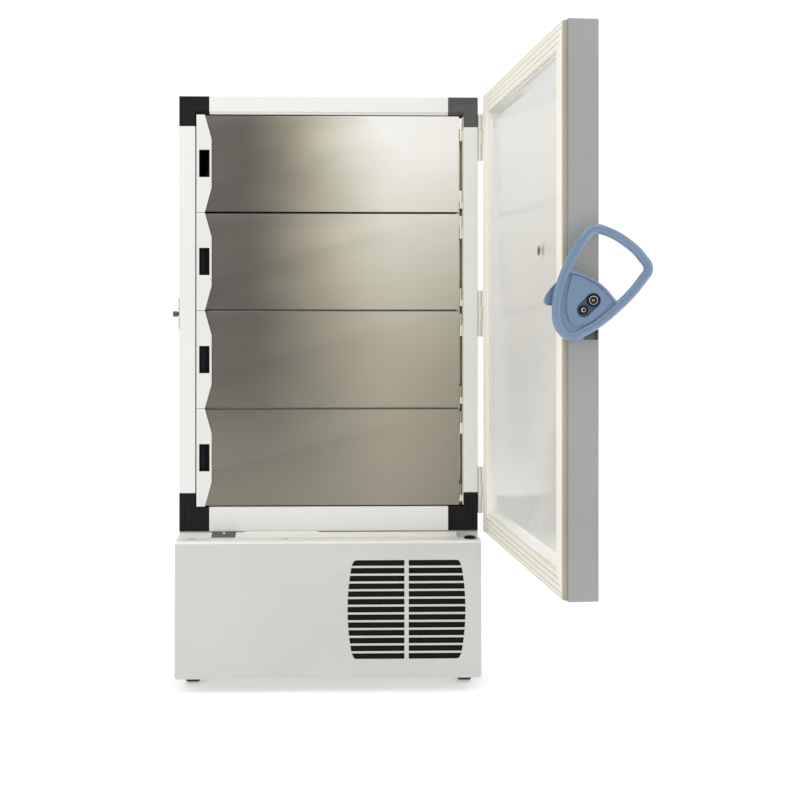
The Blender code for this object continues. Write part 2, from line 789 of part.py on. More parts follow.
def build_handle(door):
    bracket_outline = [(-0.045, -0.060), (-0.010, -0.099), (0.020, -0.099), (0.020, 0.045), (-0.045, 0.045)]
    bracket = add("handle_bracket", edge_plate(bracket_outline, GAP, 0.002), STEEL, door)
    stud = rod_mesh(edge_place(0, 0, 0.0097), 0.009, 0.0166, "x", 20)
    tab = sorted_box(
        (-SIDE - 0.0015, -SIDE - 0.020), (HANDLE_Y - 0.020, HANDLE_Y - 0.017), (
            HANDLE_Z - 0.099, HANDLE_Z - 0.074
        )
    )
    join(bracket, stud, tab)

    turn = empty("handle_pivot", edge_place(0, 0, 0), parent=door)
    curve = loop_curve(6)
    curve.bevel_depth = TUBE_RADIUS
    curve.bevel_resolution = 3
    curve.use_fill_caps = True
    handle = add_in(door, turn, "handle", solid_from_curve(curve, Matrix()), BLUE)
    web = loop_outline() + list(WEB_EDGE)
    hub = rod_mesh(edge_place(0, 0, 0.020), 0.026, 0.035, "x", 28)
    join_all = [
        edge_plate(web, TUBE_STANDOFF - 0.006, WEB_FACE), hub, edge_plate(hook_outline(), *HOOK_THICK)
    ]
    join(handle, *join_all)
    stud_bore = rod_mesh(edge_place(0, 0, 0.0097), 0.0093, 0.0172 + 0.006, "x", 20)
    lock_bore = rod_mesh(edge_place(0, 0, 0.040), 0.0140, 0.030, "x", 24)
    pocket = edge_plate(obround((0, 0), (-0.0245, -0.0243), 0.0175), WEB_FACE - 0.0035, WEB_FACE + 0.01)
    cut(handle, stud_bore, lock_bore, pocket)
    lock = add_in(
        door, turn, "lock_cylinder", rod_mesh(edge_place(0, 0, 0.0340), 0.0136, 0.0155, "x", 24), STEEL
    )
    cut(
        lock,
        sorted_box(
            (-SIDE - 0.0385, -SIDE - 0.05),
            (HANDLE_Y - 0.0012, HANDLE_Y + 0.0012),
            (HANDLE_Z - 0.005, HANDLE_Z + 0.005),
        ),
    )


def add_in(door, turn, name, mesh, material):
    """An object under an empty that is itself on the door, its mesh in the shut door's world place."""
    obj = add(name, mesh, material)
    obj.parent = turn
    obj.matrix_parent_inverse = Matrix.Translation(-turn.location)
    return obj


def obround(first, second, radius):
    """A slot outline with round ends about two centres."""
    angle = math.degrees(math.atan2(second[1] - first[1], second[0] - first[0]))
    return arc(first, radius, angle + 90, angle - 90 + 360, 10) + arc(
        second, radius, angle - 90, angle + 90, 10
    )


# ---- base -------------------------------------------------------------------------------------------------
def grille_half_width(offset):
    """Half the grille's width at this height from its middle: its sides are arcs."""
    half_height = GRILLE_ROWS * GRILLE_PITCH / 2
    return GRILLE_HALF_WIDTH - GRILLE_BULGE * (offset / half_height) ** 2


def slot_outline(row, side):
    """One slot beside the grille's middle bar. The slots at the four corners are rounded."""
    low = (row - GRILLE_ROWS / 2) * GRILLE_PITCH + (GRILLE_PITCH - GRILLE_SLOT) / 2
    high = low + GRILLE_SLOT
    inner = GRILLE_BAR / 2
    outer_low, outer_high = grille_half_width(low), grille_half_width(high)
    points = [(inner, low), (outer_low, low), (outer_high, high), (inner, high)]
    radius = 0.013
    if row == 0:
        points[1:2] = arc((outer_low - radius, low + radius), radius, -90, -8, 4)
    if row == GRILLE_ROWS - 1:
        points[2:3] = arc((outer_high - radius, high - radius), radius, 8, 90, 4)
    return [(GRILLE_CENTRE[0] + side * x, GRILLE_CENTRE[1] + z) for x, z in points]


def grille_cutter(y0, y1):
    """All slots as one mesh of separate bodies."""
    bm = bmesh.new()
    for side in (-1, 1):
        for row in range(GRILLE_ROWS):
            piece = plate_mesh(slot_outline(row, side), y0, y1)
            bm.from_mesh(piece)
            bpy.data.meshes.remove(piece)
    return mesh_of(bm)


def build_base():
    wall = 0.0015
    chassis_front = FRONT + 0.0005
    low, high = (-SIDE + 0.0005, chassis_front, CHASSIS_FLOOR), (
        SIDE - 0.0005, BACK - 0.0005, CABINET_FLOOR - GAP
    )
    chassis = thicken(add("base_chassis", tub_mesh(low, high, "-y"), WHITE_PAINT), wall)
    join_y = chassis_front + 0.002
    join(
        chassis,
        box_mesh(
            (low[0], BASE_FRONT + 0.020, CHASSIS_FLOOR), (high[0] - 0.001, join_y, CHASSIS_FLOOR + wall)
        ),
        box_mesh((low[0], SILL_FRONT + 0.001, CHASSIS_FLOOR + 0.001), (low[0] + wall, join_y, 0.4775)),
        box_mesh((high[0] - wall, PIVOT[1] + 0.048, CHASSIS_FLOOR + 0.001), (high[0], join_y, 0.4775)),
        rod_mesh((*PIVOT, CHASSIS_FLOOR + 0.006), 0.004, 0.011, "z", 16),
    )
    vents = [
        sorted_box((-0.360, -0.060), (0.46, 0.49), (z, z + 0.011))
        for z in (0.20 + 0.022 * i for i in range(8))
    ]
    cut(chassis, *vents, sorted_box((0.333, 0.387), (0.46, 0.49), (0.163, 0.201)))

    rise = CABINET_FLOOR - 0.0035
    path = [
        (FRONT - GAP, rise - 0.030),
        (FRONT - GAP, rise),
        (SILL_FRONT, COVER_TOP + 0.0005),
        (SILL_FRONT, COVER_TOP - 0.020),
    ]
    sill = thicken(add("base_sill", strip_mesh(path, -SIDE + 0.0005, NOTCH_LEFT), WHITE_PAINT), wall, -1.0)
    shelf_z = (COVER_TOP - 0.0110, COVER_TOP - 0.0095)
    join(
        sill,
        sorted_box((NOTCH_LEFT - 0.001, SIDE - 0.0020), (SILL_FRONT + 0.001, FRONT - GAP), shelf_z),
        sorted_box(
            (NOTCH_LEFT - 0.001, SIDE - 0.0020), (FRONT - GAP - wall, FRONT - GAP), (shelf_z[0], rise)
        ),
        sorted_box((NOTCH_LEFT - 0.001, PIVOT[0] + 0.021), (PIVOT[1] - 0.020, SILL_FRONT + 0.002), shelf_z),
    )
    cut(sill, rod_mesh((*PIVOT, COVER_TOP - 0.010), 0.0054, 0.02, "z", 16))

    profile = (
        (0.0, 0.0084), (0.009, 0.0079), (0.015, 0.0064), (0.0190, 0.0038), (0.0205, 0.0014), (0.0205, 0.0)
    )
    profile += ((0.0050, 0.0), (0.0050, -0.0118), (0.0, -0.0118))
    lathe("cover_pivot_cap", profile, (*PIVOT, COVER_TOP + 0.0005), BLACK, 28)

    pivot = empty("base_cover_pivot", (*PIVOT, CHASSIS_FLOOR))
    cover = build_cover(pivot, wall)
    return cover


def build_cover(pivot, wall):
    """The front cover: a panel with its top and sides turned back, swinging on its right end."""
    back_left, back_right = SILL_FRONT - 0.0005, PIVOT[1] + 0.044
    slope = 0.008
    path = [
        (BASE_FRONT, COVER_BOTTOM),
        (BASE_FRONT, COVER_TOP - slope),
        (BASE_FRONT + slope, COVER_TOP),
        (back_left, COVER_TOP),
    ]
    cover = thicken(add("base_cover", strip_mesh(path, -SIDE, SIDE), WHITE_PAINT, pivot), wall, COVER_SIDE)
    inset = 0.0003
    front, high = BASE_FRONT + inset, COVER_TOP - inset
    corner = [(front, COVER_TOP - slope), (BASE_FRONT + slope, high)]
    left_end = [
        (front, FLANGE_BOTTOM), *corner, (back_left - inset, high), (back_left - inset, FLANGE_BOTTOM)
    ]
    right_end = [(front, FLANGE_BOTTOM), (front, COVER_TOP - 0.012)]
    right_end += [(back_right, COVER_TOP - 0.012), (back_right, FLANGE_BOTTOM)]
    foot = box_mesh(
        (PIVOT[0] - 0.015, front, FLANGE_BOTTOM), (SIDE - inset, PIVOT[1] + 0.012, FLANGE_BOTTOM + 0.003)
    )
    join(
        cover,
        plate_mesh(left_end, -SIDE + inset, -SIDE + wall, "yz"),
        plate_mesh(right_end, SIDE - wall, SIDE - inset, "yz"),
        foot,
    )
    radius = 0.008
    rounded = []
    for side in (-1, 1):
        edge = side * (SIDE + 0.005)
        turn = arc((side * (SIDE - radius), COVER_BOTTOM + radius), radius, -90, 0 if side > 0 else -180, 5)
        turn += [
            (edge, COVER_BOTTOM + radius), (edge, COVER_BOTTOM - 0.005), (turn[0][0], COVER_BOTTOM - 0.005)
        ]
        rounded.append(plate_mesh(turn, BASE_FRONT - 0.01, BASE_FRONT + 0.01))
    cut(
        cover,
        grille_cutter(BASE_FRONT - 0.01, BASE_FRONT + 0.004),
        rod_mesh((*PIVOT, COVER_TOP), 0.0054, 0.02, "z", 16),
        rod_mesh((*PIVOT, FLANGE_BOTTOM), 0.0044, 0.02, "z", 16),
        *rounded,
    )
    half_height = GRILLE_ROWS * GRILLE_PITCH / 2 + 0.003
    x, z = GRILLE_CENTRE
    box(
        "air_filter",
        (x - GRILLE_HALF_WIDTH - 0.008, BASE_FRONT + wall + GAP, z - half_height),
        (x + GRILLE_HALF_WIDTH + 0.004, BASE_FRONT + wall + 0.012, z + half_height),
        FILTER,
        pivot,
    )
    return cover


def build_machinery():
    floor = CHASSIS_FLOOR + 0.0015 + GAP
    can = (
        (0.0, 0.262),
        (0.045, 0.258),
        (0.080, 0.243),
        (0.098, 0.215),
        (0.102, 0.180),
        (0.102, 0.060),
        (0.094, 0.030),
        (0.110, 0.022),
        (0.110, 0.0),
        (0.0, 0.0),
    )
    lathe("compressor_high_stage", can, (-0.330, -0.180, floor), COPPER_BLACK, 24)
    lathe("compressor_low_stage", can, (-0.330, 0.120, floor), COPPER_BLACK, 24)

    x0, x1, y0, y1 = 0.060, 0.405, -0.435, -0.385
    fins = 30
    pitch = (x1 - x0) / fins
    comb = [(x0, y1)]
    for i in range(fins):
        start = x0 + i * pitch
        comb += [
            (start, y0), (start + 0.0015, y0), (start + 0.0015, y1 - 0.006), (start + pitch, y1 - 0.006)
        ]
    comb += [(x1, y0), (x1 + 0.0015, y0), (x1 + 0.0015, y1)]
    condenser = add("condenser", plate_mesh(comb, floor, floor + 0.335, "xy"), ALUMINIUM)
    centre = ((x0 + x1) / 2, floor + 0.1675)
    shroud_y = (y1 - 0.003, y1 + 0.030)
    join(condenser, sorted_box((x0, x1), shroud_y, (floor, floor + 0.335)))
    cut(condenser, rod_mesh((centre[0], y1 + 0.025, centre[1]), 0.140, 0.046, "y", 36))
    motor = rod_mesh((centre[0], y1 + 0.040, centre[1]), 0.040, 0.030, "y", 20)
    arms = [
        sorted_box(
            (centre[0] - 0.150, centre[0] + 0.150),
            (y1 + 0.027, y1 + 0.033),
            (centre[1] - 0.006, centre[1] + 0.006),
        ),
    ]
    join(condenser, motor, *arms)

    axis = (centre[0], y1 + 0.013, centre[1])
    spin = empty("fan_axis", axis)
    fan = add("condenser_fan", rod_mesh(axis, 0.030, 0.016, "y", 20), BLACK, spin)
    for blade in range(5):
        join(fan, blade_mesh(axis, blade * math.tau / 5))

    control = box("electronics_box", (0.120, 0.150, floor), (0.420, 0.460, floor + 0.160), STEEL)
    join(control, sorted_box((0.330, 0.390), (0.455, BACK - 0.0025), (floor + 0.060, floor + 0.100)))


def blade_mesh(axis, angle):
    """A pitched fan blade, tapering from the hub to the tip."""
    bm = bmesh.new()
    bmesh.ops.create_cube(
        bm, size=1, matrix=Matrix.Translation((0.078, 0, 0)) @ Matrix.Diagonal((0.110, 0.002, 0.060, 1))
    )
    for v in bm.verts:
        if v.co.x < 0.05:
            v.co.z *= 0.55
    place = Matrix.Translation(axis) @ Matrix.Rotation(angle, 4, "Y") @ Matrix.Rotation(
        math.radians(12), 4, "X"
    )
    bm.transform(place)
    return mesh_of(bm)


def build_caster(name, x, y):
    """A swivel caster: fork under a round head, and a wheel that trails behind the swivel."""
    swivel = empty(f"caster_swivel_{name}", (x, y, CHASSIS_FLOOR))
    wheel_y = y - CASTER_TRAIL
    top = CHASSIS_FLOOR - GAP
    fork = add(f"caster_fork_{name}", rod_mesh((x, y, top - 0.004), 0.030, 0.008, "z", 24), STEEL, swivel)
    half = WHEEL_WIDTH / 2 + 0.0015
    sides = []
    for across in (-1, 1):
        outline = [(y + 0.018, top - 0.006), (y + 0.018, top - 0.022), (wheel_y + 0.010, 0.028)]
        outline += [(wheel_y - 0.010, 0.028), (y - 0.030, top - 0.006)]
        near = across * half
        far = across * (half + 0.003)
        sides.append(plate_mesh(outline, x + min(near, far), x + max(near, far), "yz"))
    crown = box_mesh((x - half - 0.003, y - 0.030, top - 0.011), (x + half + 0.003, y + 0.018, top - 0.005))
    axle = rod_mesh((x, wheel_y, WHEEL_RADIUS), 0.005, 2 * half + 0.010, "x", 12)
    join(fork, crown, *sides, axle)

    roll = empty(f"caster_axle_{name}", (x, wheel_y, WHEEL_RADIUS), parent=swivel)
    half_width = WHEEL_WIDTH / 2
    rim = [
        (0.0056, half_width),
        (0.030, half_width),
        (0.0355, half_width - 0.002),
        (WHEEL_RADIUS, half_width - 0.007),
    ]
    profile = rim + [(r, -z) for r, z in reversed(rim)] + [rim[0]]
    wheel = lathe(f"caster_wheel_{name}", profile, (0, 0, 0), RUBBER, 32)
    wheel.parent = roll
    wheel.rotation_euler = (0, math.pi / 2, 0)


# ---- assembly ---------------------------------------------------------------------------------------------
build_cabinet()
build_frame_strips()
build_strike()
build_inner_doors()
outer_door = empty("outer_door_pivot", (*HINGE_AXIS, DOOR_BOTTOM), (0, 0, DOOR_ANGLE))
build_outer_door(outer_door)
build_outer_hinges(outer_door)
build_handle(outer_door)
build_base()
build_machinery()
for label, sign, caster_y in (
    ("front_left", -1, CASTER_FRONT_Y),
    ("front_right", 1, CASTER_FRONT_Y),
    ("rear_left", -1, CASTER_BACK_Y),
    ("rear_right", 1, CASTER_BACK_Y),
):
    build_caster(label, sign * CASTER_X, caster_y)
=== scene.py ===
"""Looks for the upright laboratory freezer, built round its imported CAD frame."""

import json
import math

import bmesh
import bpy
from mathutils import Matrix, Vector

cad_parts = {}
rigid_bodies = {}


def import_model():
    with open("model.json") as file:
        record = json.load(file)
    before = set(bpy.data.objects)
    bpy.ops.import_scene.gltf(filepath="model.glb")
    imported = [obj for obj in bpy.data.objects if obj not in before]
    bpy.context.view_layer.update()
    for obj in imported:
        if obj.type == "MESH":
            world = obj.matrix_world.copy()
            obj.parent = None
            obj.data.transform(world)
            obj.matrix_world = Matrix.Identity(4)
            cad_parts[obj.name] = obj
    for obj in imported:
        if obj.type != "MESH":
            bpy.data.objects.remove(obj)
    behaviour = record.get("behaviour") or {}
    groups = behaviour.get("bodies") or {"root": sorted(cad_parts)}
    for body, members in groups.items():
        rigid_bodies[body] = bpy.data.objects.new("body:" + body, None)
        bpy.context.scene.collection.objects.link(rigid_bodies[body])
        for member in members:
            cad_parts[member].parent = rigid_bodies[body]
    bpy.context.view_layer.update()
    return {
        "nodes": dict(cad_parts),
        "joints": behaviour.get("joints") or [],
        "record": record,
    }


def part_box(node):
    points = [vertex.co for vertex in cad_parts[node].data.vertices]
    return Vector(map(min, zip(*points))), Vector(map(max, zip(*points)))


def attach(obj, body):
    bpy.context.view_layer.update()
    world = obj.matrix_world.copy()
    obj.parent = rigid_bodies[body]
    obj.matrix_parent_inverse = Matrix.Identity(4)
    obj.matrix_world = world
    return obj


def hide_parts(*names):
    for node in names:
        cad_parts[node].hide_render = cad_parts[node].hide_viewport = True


for old in list(bpy.data.objects):
    bpy.data.objects.remove(old)

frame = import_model()
nodes = frame["nodes"]
joints = {joint["name"]: joint for joint in frame["joints"]}
body_of = {
    node: body for body, members in frame["record"]["behaviour"]["bodies"].items() for node in members
}


# ---- materials --------------------------------------------------------------------------------------------
def new_material(name, roughness=0.5, metallic=0.0, **sockets):
    """A Principled material with its even values set straight on the shader."""
    material = bpy.data.materials.new(name)
    material.use_nodes = True
    shader = material.node_tree.nodes["Principled BSDF"]
    shader.inputs["Roughness"].default_value = roughness
    shader.inputs["Metallic"].default_value = metallic
    for socket, value in sockets.items():
        shader.inputs[socket.replace("_", " ")].default_value = value
    return material


def node(material, kind, **values):
    made = material.node_tree.nodes.new(kind)
    for key, value in values.items():
        if key in made.inputs:
            made.inputs[key].default_value = value
        else:
            setattr(made, key, value)
    return made


def link(material, source, target):
    material.node_tree.links.new(source, target)


def coordinates(material, scale=(1, 1, 1), turn=(0, 0, 0)):
    place = node(material, "ShaderNodeTexCoord")
    mapping = node(material, "ShaderNodeMapping", Scale=scale, Rotation=turn)
    link(material, place.outputs["Object"], mapping.inputs["Vector"])
    return mapping.outputs["Vector"]


def noise(material, vector, scale, detail=3.0, roughness=0.5):
    made = node(material, "ShaderNodeTexNoise", Scale=scale, Detail=detail, Roughness=roughness)
    link(material, vector, made.inputs["Vector"])
    return made.outputs["Fac"]


def ramp(material, factor, stops, kind="LINEAR"):
    made = node(material, "ShaderNodeValToRGB")
    made.color_ramp.interpolation = kind
    elements = made.color_ramp.elements
    while len(elements) < len(stops):
        elements.new(0.5)
    for element, (position, colour) in zip(elements, stops):
        element.position = position
        element.color = (*colour, 1)
    link(material, factor, made.inputs["Fac"])
    return made.outputs["Color"]


def spread(material, factor, low, high):
    made = node(
        material, "ShaderNodeMapRange", **{"To Min": low, "To Max": high, "From Min": 0.3, "From Max": 0.7}
    )
    link(material, factor, made.inputs["Value"])
    return made.outputs["Result"]


def bump(material, height, strength, distance=0.001):
    made = node(material, "ShaderNodeBump", Strength=strength, Distance=distance)
    link(material, height, made.inputs["Height"])
    link(material, made.outputs["Normal"], material.node_tree.nodes["Principled BSDF"].inputs["Normal"])


def to_shader(material, output, socket):
    link(material, output, material.node_tree.nodes["Principled BSDF"].inputs[socket])


def shade(colour, factor):
    return tuple(min(1, c * factor) for c in colour)


def painted(name, colour, roughness=0.4, peel=0.05, drift=0.03, metallic=0.0, **sockets):
    """Powder coat or moulded plastic: faint colour drift, uneven gloss and an orange-peel surface."""
    material = new_material(name, roughness, metallic, **sockets)
    place = coordinates(material)
    broad = noise(material, place, 3.5, 2.0)
    to_shader(
        material,
        ramp(material, broad, [(0.3, shade(colour, 1 - drift)), (0.7, shade(colour, 1 + drift))]),
        "Base Color",
    )
    to_shader(
        material,
        spread(material, noise(material, place, 28, 4.0), roughness - 0.04, roughness + 0.05),
        "Roughness",
    )
    bump(material, noise(material, place, 900, 2.0), peel, 0.0004)
    return material


def floor_light_painted(material, low, high, factor):
    """Paints light into a material towards its lower end: painted light standing in for what a pale floor
    throws on it.
    """
    split = node(material, "ShaderNodeSeparateXYZ")
    link(material, node(material, "ShaderNodeTexCoord").outputs["Object"], split.inputs["Vector"])
    level = node(
        material,
        "ShaderNodeMapRange",
        **{"From Min": low, "From Max": high, "To Min": factor, "To Max": 1.0},
    )
    link(material, split.outputs["Z"], level.inputs["Value"])
    mix = node(material, "ShaderNodeMix", data_type="RGBA", blend_type="MULTIPLY")
    mix.inputs["Factor"].default_value = 1.0
    base = material.node_tree.nodes["Principled BSDF"].inputs["Base Color"]
    link(material, base.links[0].from_socket, mix.inputs["A"])
    link(material, level.outputs["Result"], mix.inputs["B"])
    link(material, mix.outputs["Result"], base)
    return material


def brushed(name, colours, roughness=0.33, along="X", grain=0.10, metallic=1.0):
    """Metal with fine lines along one axis."""
    material = new_material(name, roughness, metallic)
    stretch = {"X": (3, 700, 700), "Y": (700, 3, 700), "Z": (700, 700, 3)}[along]
    lines = noise(material, coordinates(material, stretch), 1.0, 3.0, 0.7)
    to_shader(material, ramp(material, lines, [(0.25, colours[0]), (0.75, colours[1])]), "Base Color")
    to_shader(material, spread(material, lines, roughness - 0.05, roughness + 0.06), "Roughness")
    bump(material, lines, grain, 0.0003)
    return material


def door_stainless():
    """The inner doors' sheet: fine horizontal grain, and a broad tone, pale at the top right, that is a
    painted reflection of the bright room in the steel.
    """
    material = new_material("inner_door_sheet", 0.36, 0.9)
    split = node(material, "ShaderNodeSeparateXYZ")
    link(material, node(material, "ShaderNodeTexCoord").outputs["Object"], split.inputs["Vector"])
    wobble = noise(material, coordinates(material, (1.2, 1, 2.2)), 1.6, 2.0)

    def calculate(operation, *values):
        made = node(material, "ShaderNodeMath", operation=operation)
        for socket, value in zip(made.inputs, values):
            if isinstance(value, (int, float)):
                socket.default_value = value
            else:
                link(material, value, socket)
        return made.outputs["Value"]

    def stretch(value, low, high, to_low, to_high, kind="LINEAR"):
        made = node(material, "ShaderNodeMapRange", interpolation_type=kind)
        for socket, number in (
            ("From Min", low), ("From Max", high), ("To Min", to_low), ("To Max", to_high)
        ):
            made.inputs[socket].default_value = number
        link(material, value, made.inputs["Value"])
        return made.outputs["Result"]

    # painted reflection: from here to the ramp, the room's light on the steel is painted into its colour
    shifted = calculate("ADD", split.outputs["X"], calculate("MULTIPLY_ADD", wobble, 0.16, -0.08))
    sweep = stretch(shifted, -0.29, 0.27, 0.0, 1.0, "SMOOTHSTEP")
    rise = calculate("POWER", stretch(split.outputs["Z"], 0.5, 1.92, 0.0, 1.0), 1.5)
    fade = stretch(split.outputs["X"], 0.20, 0.44, 0.0, 0.05)
    low_part = stretch(split.outputs["Z"], 1.15, 0.62, 0.125, 0.205, "SMOOTHSTEP")
    tone = calculate("MULTIPLY_ADD", sweep, calculate("MULTIPLY_ADD", rise, 0.92, 0.075), low_part)
    tone = calculate("SUBTRACT", tone, calculate("MULTIPLY", fade, calculate("SUBTRACT", 1.0, rise)))
    tone = calculate("MULTIPLY_ADD", calculate("SUBTRACT", wobble, 0.5), 0.05, tone)
    stops = [(0.0, (0, 0, 0)), (0.136, (0.136, 0.130, 0.112)), (0.376, (0.376, 0.348, 0.265))]
    stops += [(0.62, (0.62, 0.59, 0.475)), (0.87, (0.87, 0.85, 0.755)), (1.0, (1, 0.985, 0.93))]
    broad = ramp(material, tone, stops)
    lines = noise(material, coordinates(material, (3, 600, 600)), 1.0, 3.0, 0.7)
    mix = node(material, "ShaderNodeMix", data_type="RGBA", blend_type="MULTIPLY")
    mix.inputs["Factor"].default_value = 1.0
    link(material, broad, mix.inputs["A"])
    link(
        material, ramp(material, lines, [(0.2, (0.93, 0.93, 0.93)), (0.8, (1.0, 1.0, 1.0))]), mix.inputs["B"]
    )
    to_shader(material, mix.outputs["Result"], "Base Color")
    to_shader(material, spread(material, lines, 0.30, 0.42), "Roughness")
    bump(material, lines, 0.06, 0.0002)
    return material


WHITE = painted("white_paint", (0.78, 0.78, 0.755), 0.42, drift=0.015)
BASE_PAINT = painted("base_paint", (0.575, 0.578, 0.548), 0.45, peel=0.08, drift=0.02)
# painted light: the base paint made lighter for the faces that look up, standing in for light from above
LEDGE_LIT = painted("ledge_paint", (0.80, 0.79, 0.735), 0.42, peel=0.05, drift=0.02)
EDGE_GREY = painted("door_edge_paint", (0.322, 0.325, 0.318), 0.33, drift=0.03)
STRIP = painted("frame_strip", (0.76, 0.76, 0.735), 0.38, peel=0.02, drift=0.01)
CAP = painted("end_cap", (0.74, 0.738, 0.70), 0.42, peel=0.03, drift=0.012)
BLACK = painted("black_plastic", (0.007, 0.007, 0.009), 0.5, peel=0.10, drift=0.2, Specular_IOR_Level=0.16)
# painted highlight: a lighter copy of the black plastic for the top right corner piece, standing in for
# light falling on it
LIT_CORNER_BLACK = painted("black_plastic_lit", (0.068, 0.070, 0.068), 0.45, peel=0.10, drift=0.12)
DARK = painted("dark_plate", (0.085, 0.086, 0.080), 0.4, drift=0.1)
# dark seam lines on the cabinet's back, and painted shade for the ledge's drain slots, drawn as flat ovals
DARK_SEAM_AND_SLOT_SHADE = painted("mark_shadow", (0.30, 0.28, 0.22), 0.6, drift=0.1)
# painted shade: the grille slots' cut edges are made near black so the slots read dark; the real edges are
# the cover's own metal
PAINTED_SLOT_SHADE = painted("slot_wall", (0.006, 0.006, 0.005), 0.8, drift=0.1, Specular_IOR_Level=0.1)
GLASS = painted(
    "display_glass", (0.010, 0.012, 0.016), 0.06, peel=0.0, drift=0.05, Coat_Weight=0.5, Coat_Roughness=0.03
)
BUTTON = painted("keypad_film", (0.16, 0.17, 0.18), 0.35, peel=0.05, drift=0.04)
COPPER = brushed("copper_tube", ((0.50, 0.24, 0.13), (0.66, 0.35, 0.20)), 0.30, "Z", 0.05)
# painted light: the gloss panel's colour is lifted towards its lower end, standing in for light from the
# floor
PANEL_FLOOR_LIT = floor_light_painted(painted("gloss_panel", (0.74, 0.735, 0.71), 0.16, peel=0.01, drift=0.012), 0.58, 0.86, 1.36)
# painted shade: a darker tan for the gasket's creases and its first lip's outer side, and a darker grey-tan
# for its outer flank and retaining channel
GASKET_CREASE_SHADE = painted("gasket_valley", (0.46, 0.40, 0.29), 0.7, peel=0.1, drift=0.06)
GASKET_FLANK_SHADE = painted("gasket_flank", (0.33, 0.315, 0.27), 0.7, peel=0.1, drift=0.08)
GASKET = painted("gasket_lip", (0.87, 0.845, 0.745), 0.58, peel=0.05, drift=0.02)
BLUE = painted(
    "blue_plastic", (0.122, 0.205, 0.325), 0.30, peel=0.06, drift=0.03, Sheen_Weight=1.0,
    Sheen_Roughness=0.20, Coat_Weight=1.0, Coat_Roughness=0.12,
)
# painted shade: a darker blue for the floor of the handle's lock pocket, standing in for the shade in the
# recess
BLUE_RECESS_SHADE = painted("blue_recess", (0.040, 0.068, 0.115), 0.40, peel=0.08, drift=0.03)
HINGE = painted("hinge_paint", (0.70, 0.69, 0.64), 0.38, drift=0.02)
CREAM = painted("cream_plastic", (0.76, 0.73, 0.62), 0.45, drift=0.02)
COMPRESSOR = painted("compressor_paint", (0.012, 0.012, 0.013), 0.35, drift=0.2)
RUBBER = painted("tyre_rubber", (0.018, 0.018, 0.019), 0.75, peel=0.3, drift=0.15)
FOAM = painted("foam", (0.75, 0.66, 0.42), 0.9, peel=0.8, drift=0.06)
STEEL = brushed("plain_steel", ((0.36, 0.36, 0.37), (0.52, 0.52, 0.53)), 0.34, "Z")
CHROME = brushed("bright_steel", ((0.55, 0.55, 0.56), (0.68, 0.68, 0.69)), 0.18, "Z", 0.03)
LINER = brushed("liner_steel", ((0.50, 0.49, 0.46), (0.62, 0.61, 0.58)), 0.32, "Y")
FINS = brushed("fin_aluminium", ((0.55, 0.56, 0.57), (0.72, 0.73, 0.74)), 0.42, "Z")
BRASS = brushed("brass", ((0.36, 0.25, 0.10), (0.50, 0.36, 0.16)), 0.35, "Z")
SHEET = door_stainless()


def woven(name, colour, pitch=0.0022):
    """A filter's open weave."""
    material = new_material(name, 0.9, Specular_IOR_Level=0.1)
    place = coordinates(material, (1 / pitch, 1 / pitch, 1 / pitch))
    bands = []
    for direction in ("X", "Z"):
        wave = node(material, "ShaderNodeTexWave", bands_direction=direction, Scale=0.16, Distortion=0.6)
        link(material, place, wave.inputs["Vector"])
        bands.append(wave.outputs["Fac"])
    both = node(material, "ShaderNodeMath", operation="MULTIPLY")
    link(material, bands[0], both.inputs[0])
    link(material, bands[1], both.inputs[1])
    to_shader(
        material,
        ramp(material, both.outputs["Value"], [(0.1, shade(colour, 2.2)), (0.6, shade(colour, 0.6))]),
        "Base Color",
    )
    bump(material, both.outputs["Value"], 0.6, 0.001)
    return material


FILTER = woven("filter_weave", (0.006, 0.0055, 0.005))


# ---- mesh helpers -----------------------------------------------------------------------------------------
def place_mesh(name, mesh, materials, body, angle=35):
    """A finished piece on a body, smooth but for edges sharper than this angle."""
    obj = bpy.data.objects.new(name, mesh)
    bpy.context.scene.collection.objects.link(obj)
    for material in materials if isinstance(materials, (list, tuple)) else [materials]:
        mesh.materials.append(material)
    mesh.polygons.foreach_set("use_smooth", [True] * len(mesh.polygons))
    mesh.set_sharp_from_angle(angle=math.radians(angle))
    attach(obj, body)
    return obj


def to_mesh(bm, turn=None):
    mesh = bpy.data.meshes.new("piece")
    bmesh.ops.recalc_face_normals(bm, faces=bm.faces)
    if turn:
        bm.transform(turn)
    bm.to_mesh(mesh)
    bm.free()
    return mesh


def clean_copy(node_name, whole=True):
    """A CAD node's mesh as a bmesh, welded, with its flat faces whole where they have no holes."""
    bm = bmesh.new()
    bm.from_mesh(nodes[node_name].data)
    bmesh.ops.remove_doubles(bm, verts=bm.verts, dist=1e-5)
    if whole:
        bmesh.ops.dissolve_limit(bm, angle_limit=math.radians(0.4), verts=bm.verts, edges=bm.edges)
    return bm


def soften(obj, width, segments=2, angle=30):
    rounding = obj.modifiers.new("edges", "BEVEL")
    rounding.width = width
    rounding.segments = segments
    rounding.limit_method = "ANGLE"
    rounding.angle_limit = math.radians(angle)
    rounding.harden_normals = True
    rounding.miter_outer = "MITER_ARC"
    return obj


def fine(node_name, material, width, segments=2, change=None, angle=30, whole=True):
    """A copy of a CAD node with its edges rounded as the real piece's are, in place of the node."""
    bm = clean_copy(node_name, whole)
    if change:
        change(bm)
    obj = place_mesh(node_name + "_look", to_mesh(bm), material, body_of[node_name], 40)
    soften(obj, width, segments, angle)
    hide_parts(node_name)
    return obj


def dress(node_name, material, angle=30):
    """A CAD node that stays, with a better material."""
    obj = nodes[node_name]
    obj.data.materials.clear()
    obj.data.materials.append(material)
    obj.data.polygons.foreach_set("use_smooth", [True] * len(obj.data.polygons))
    obj.data.set_sharp_from_angle(angle=math.radians(angle))


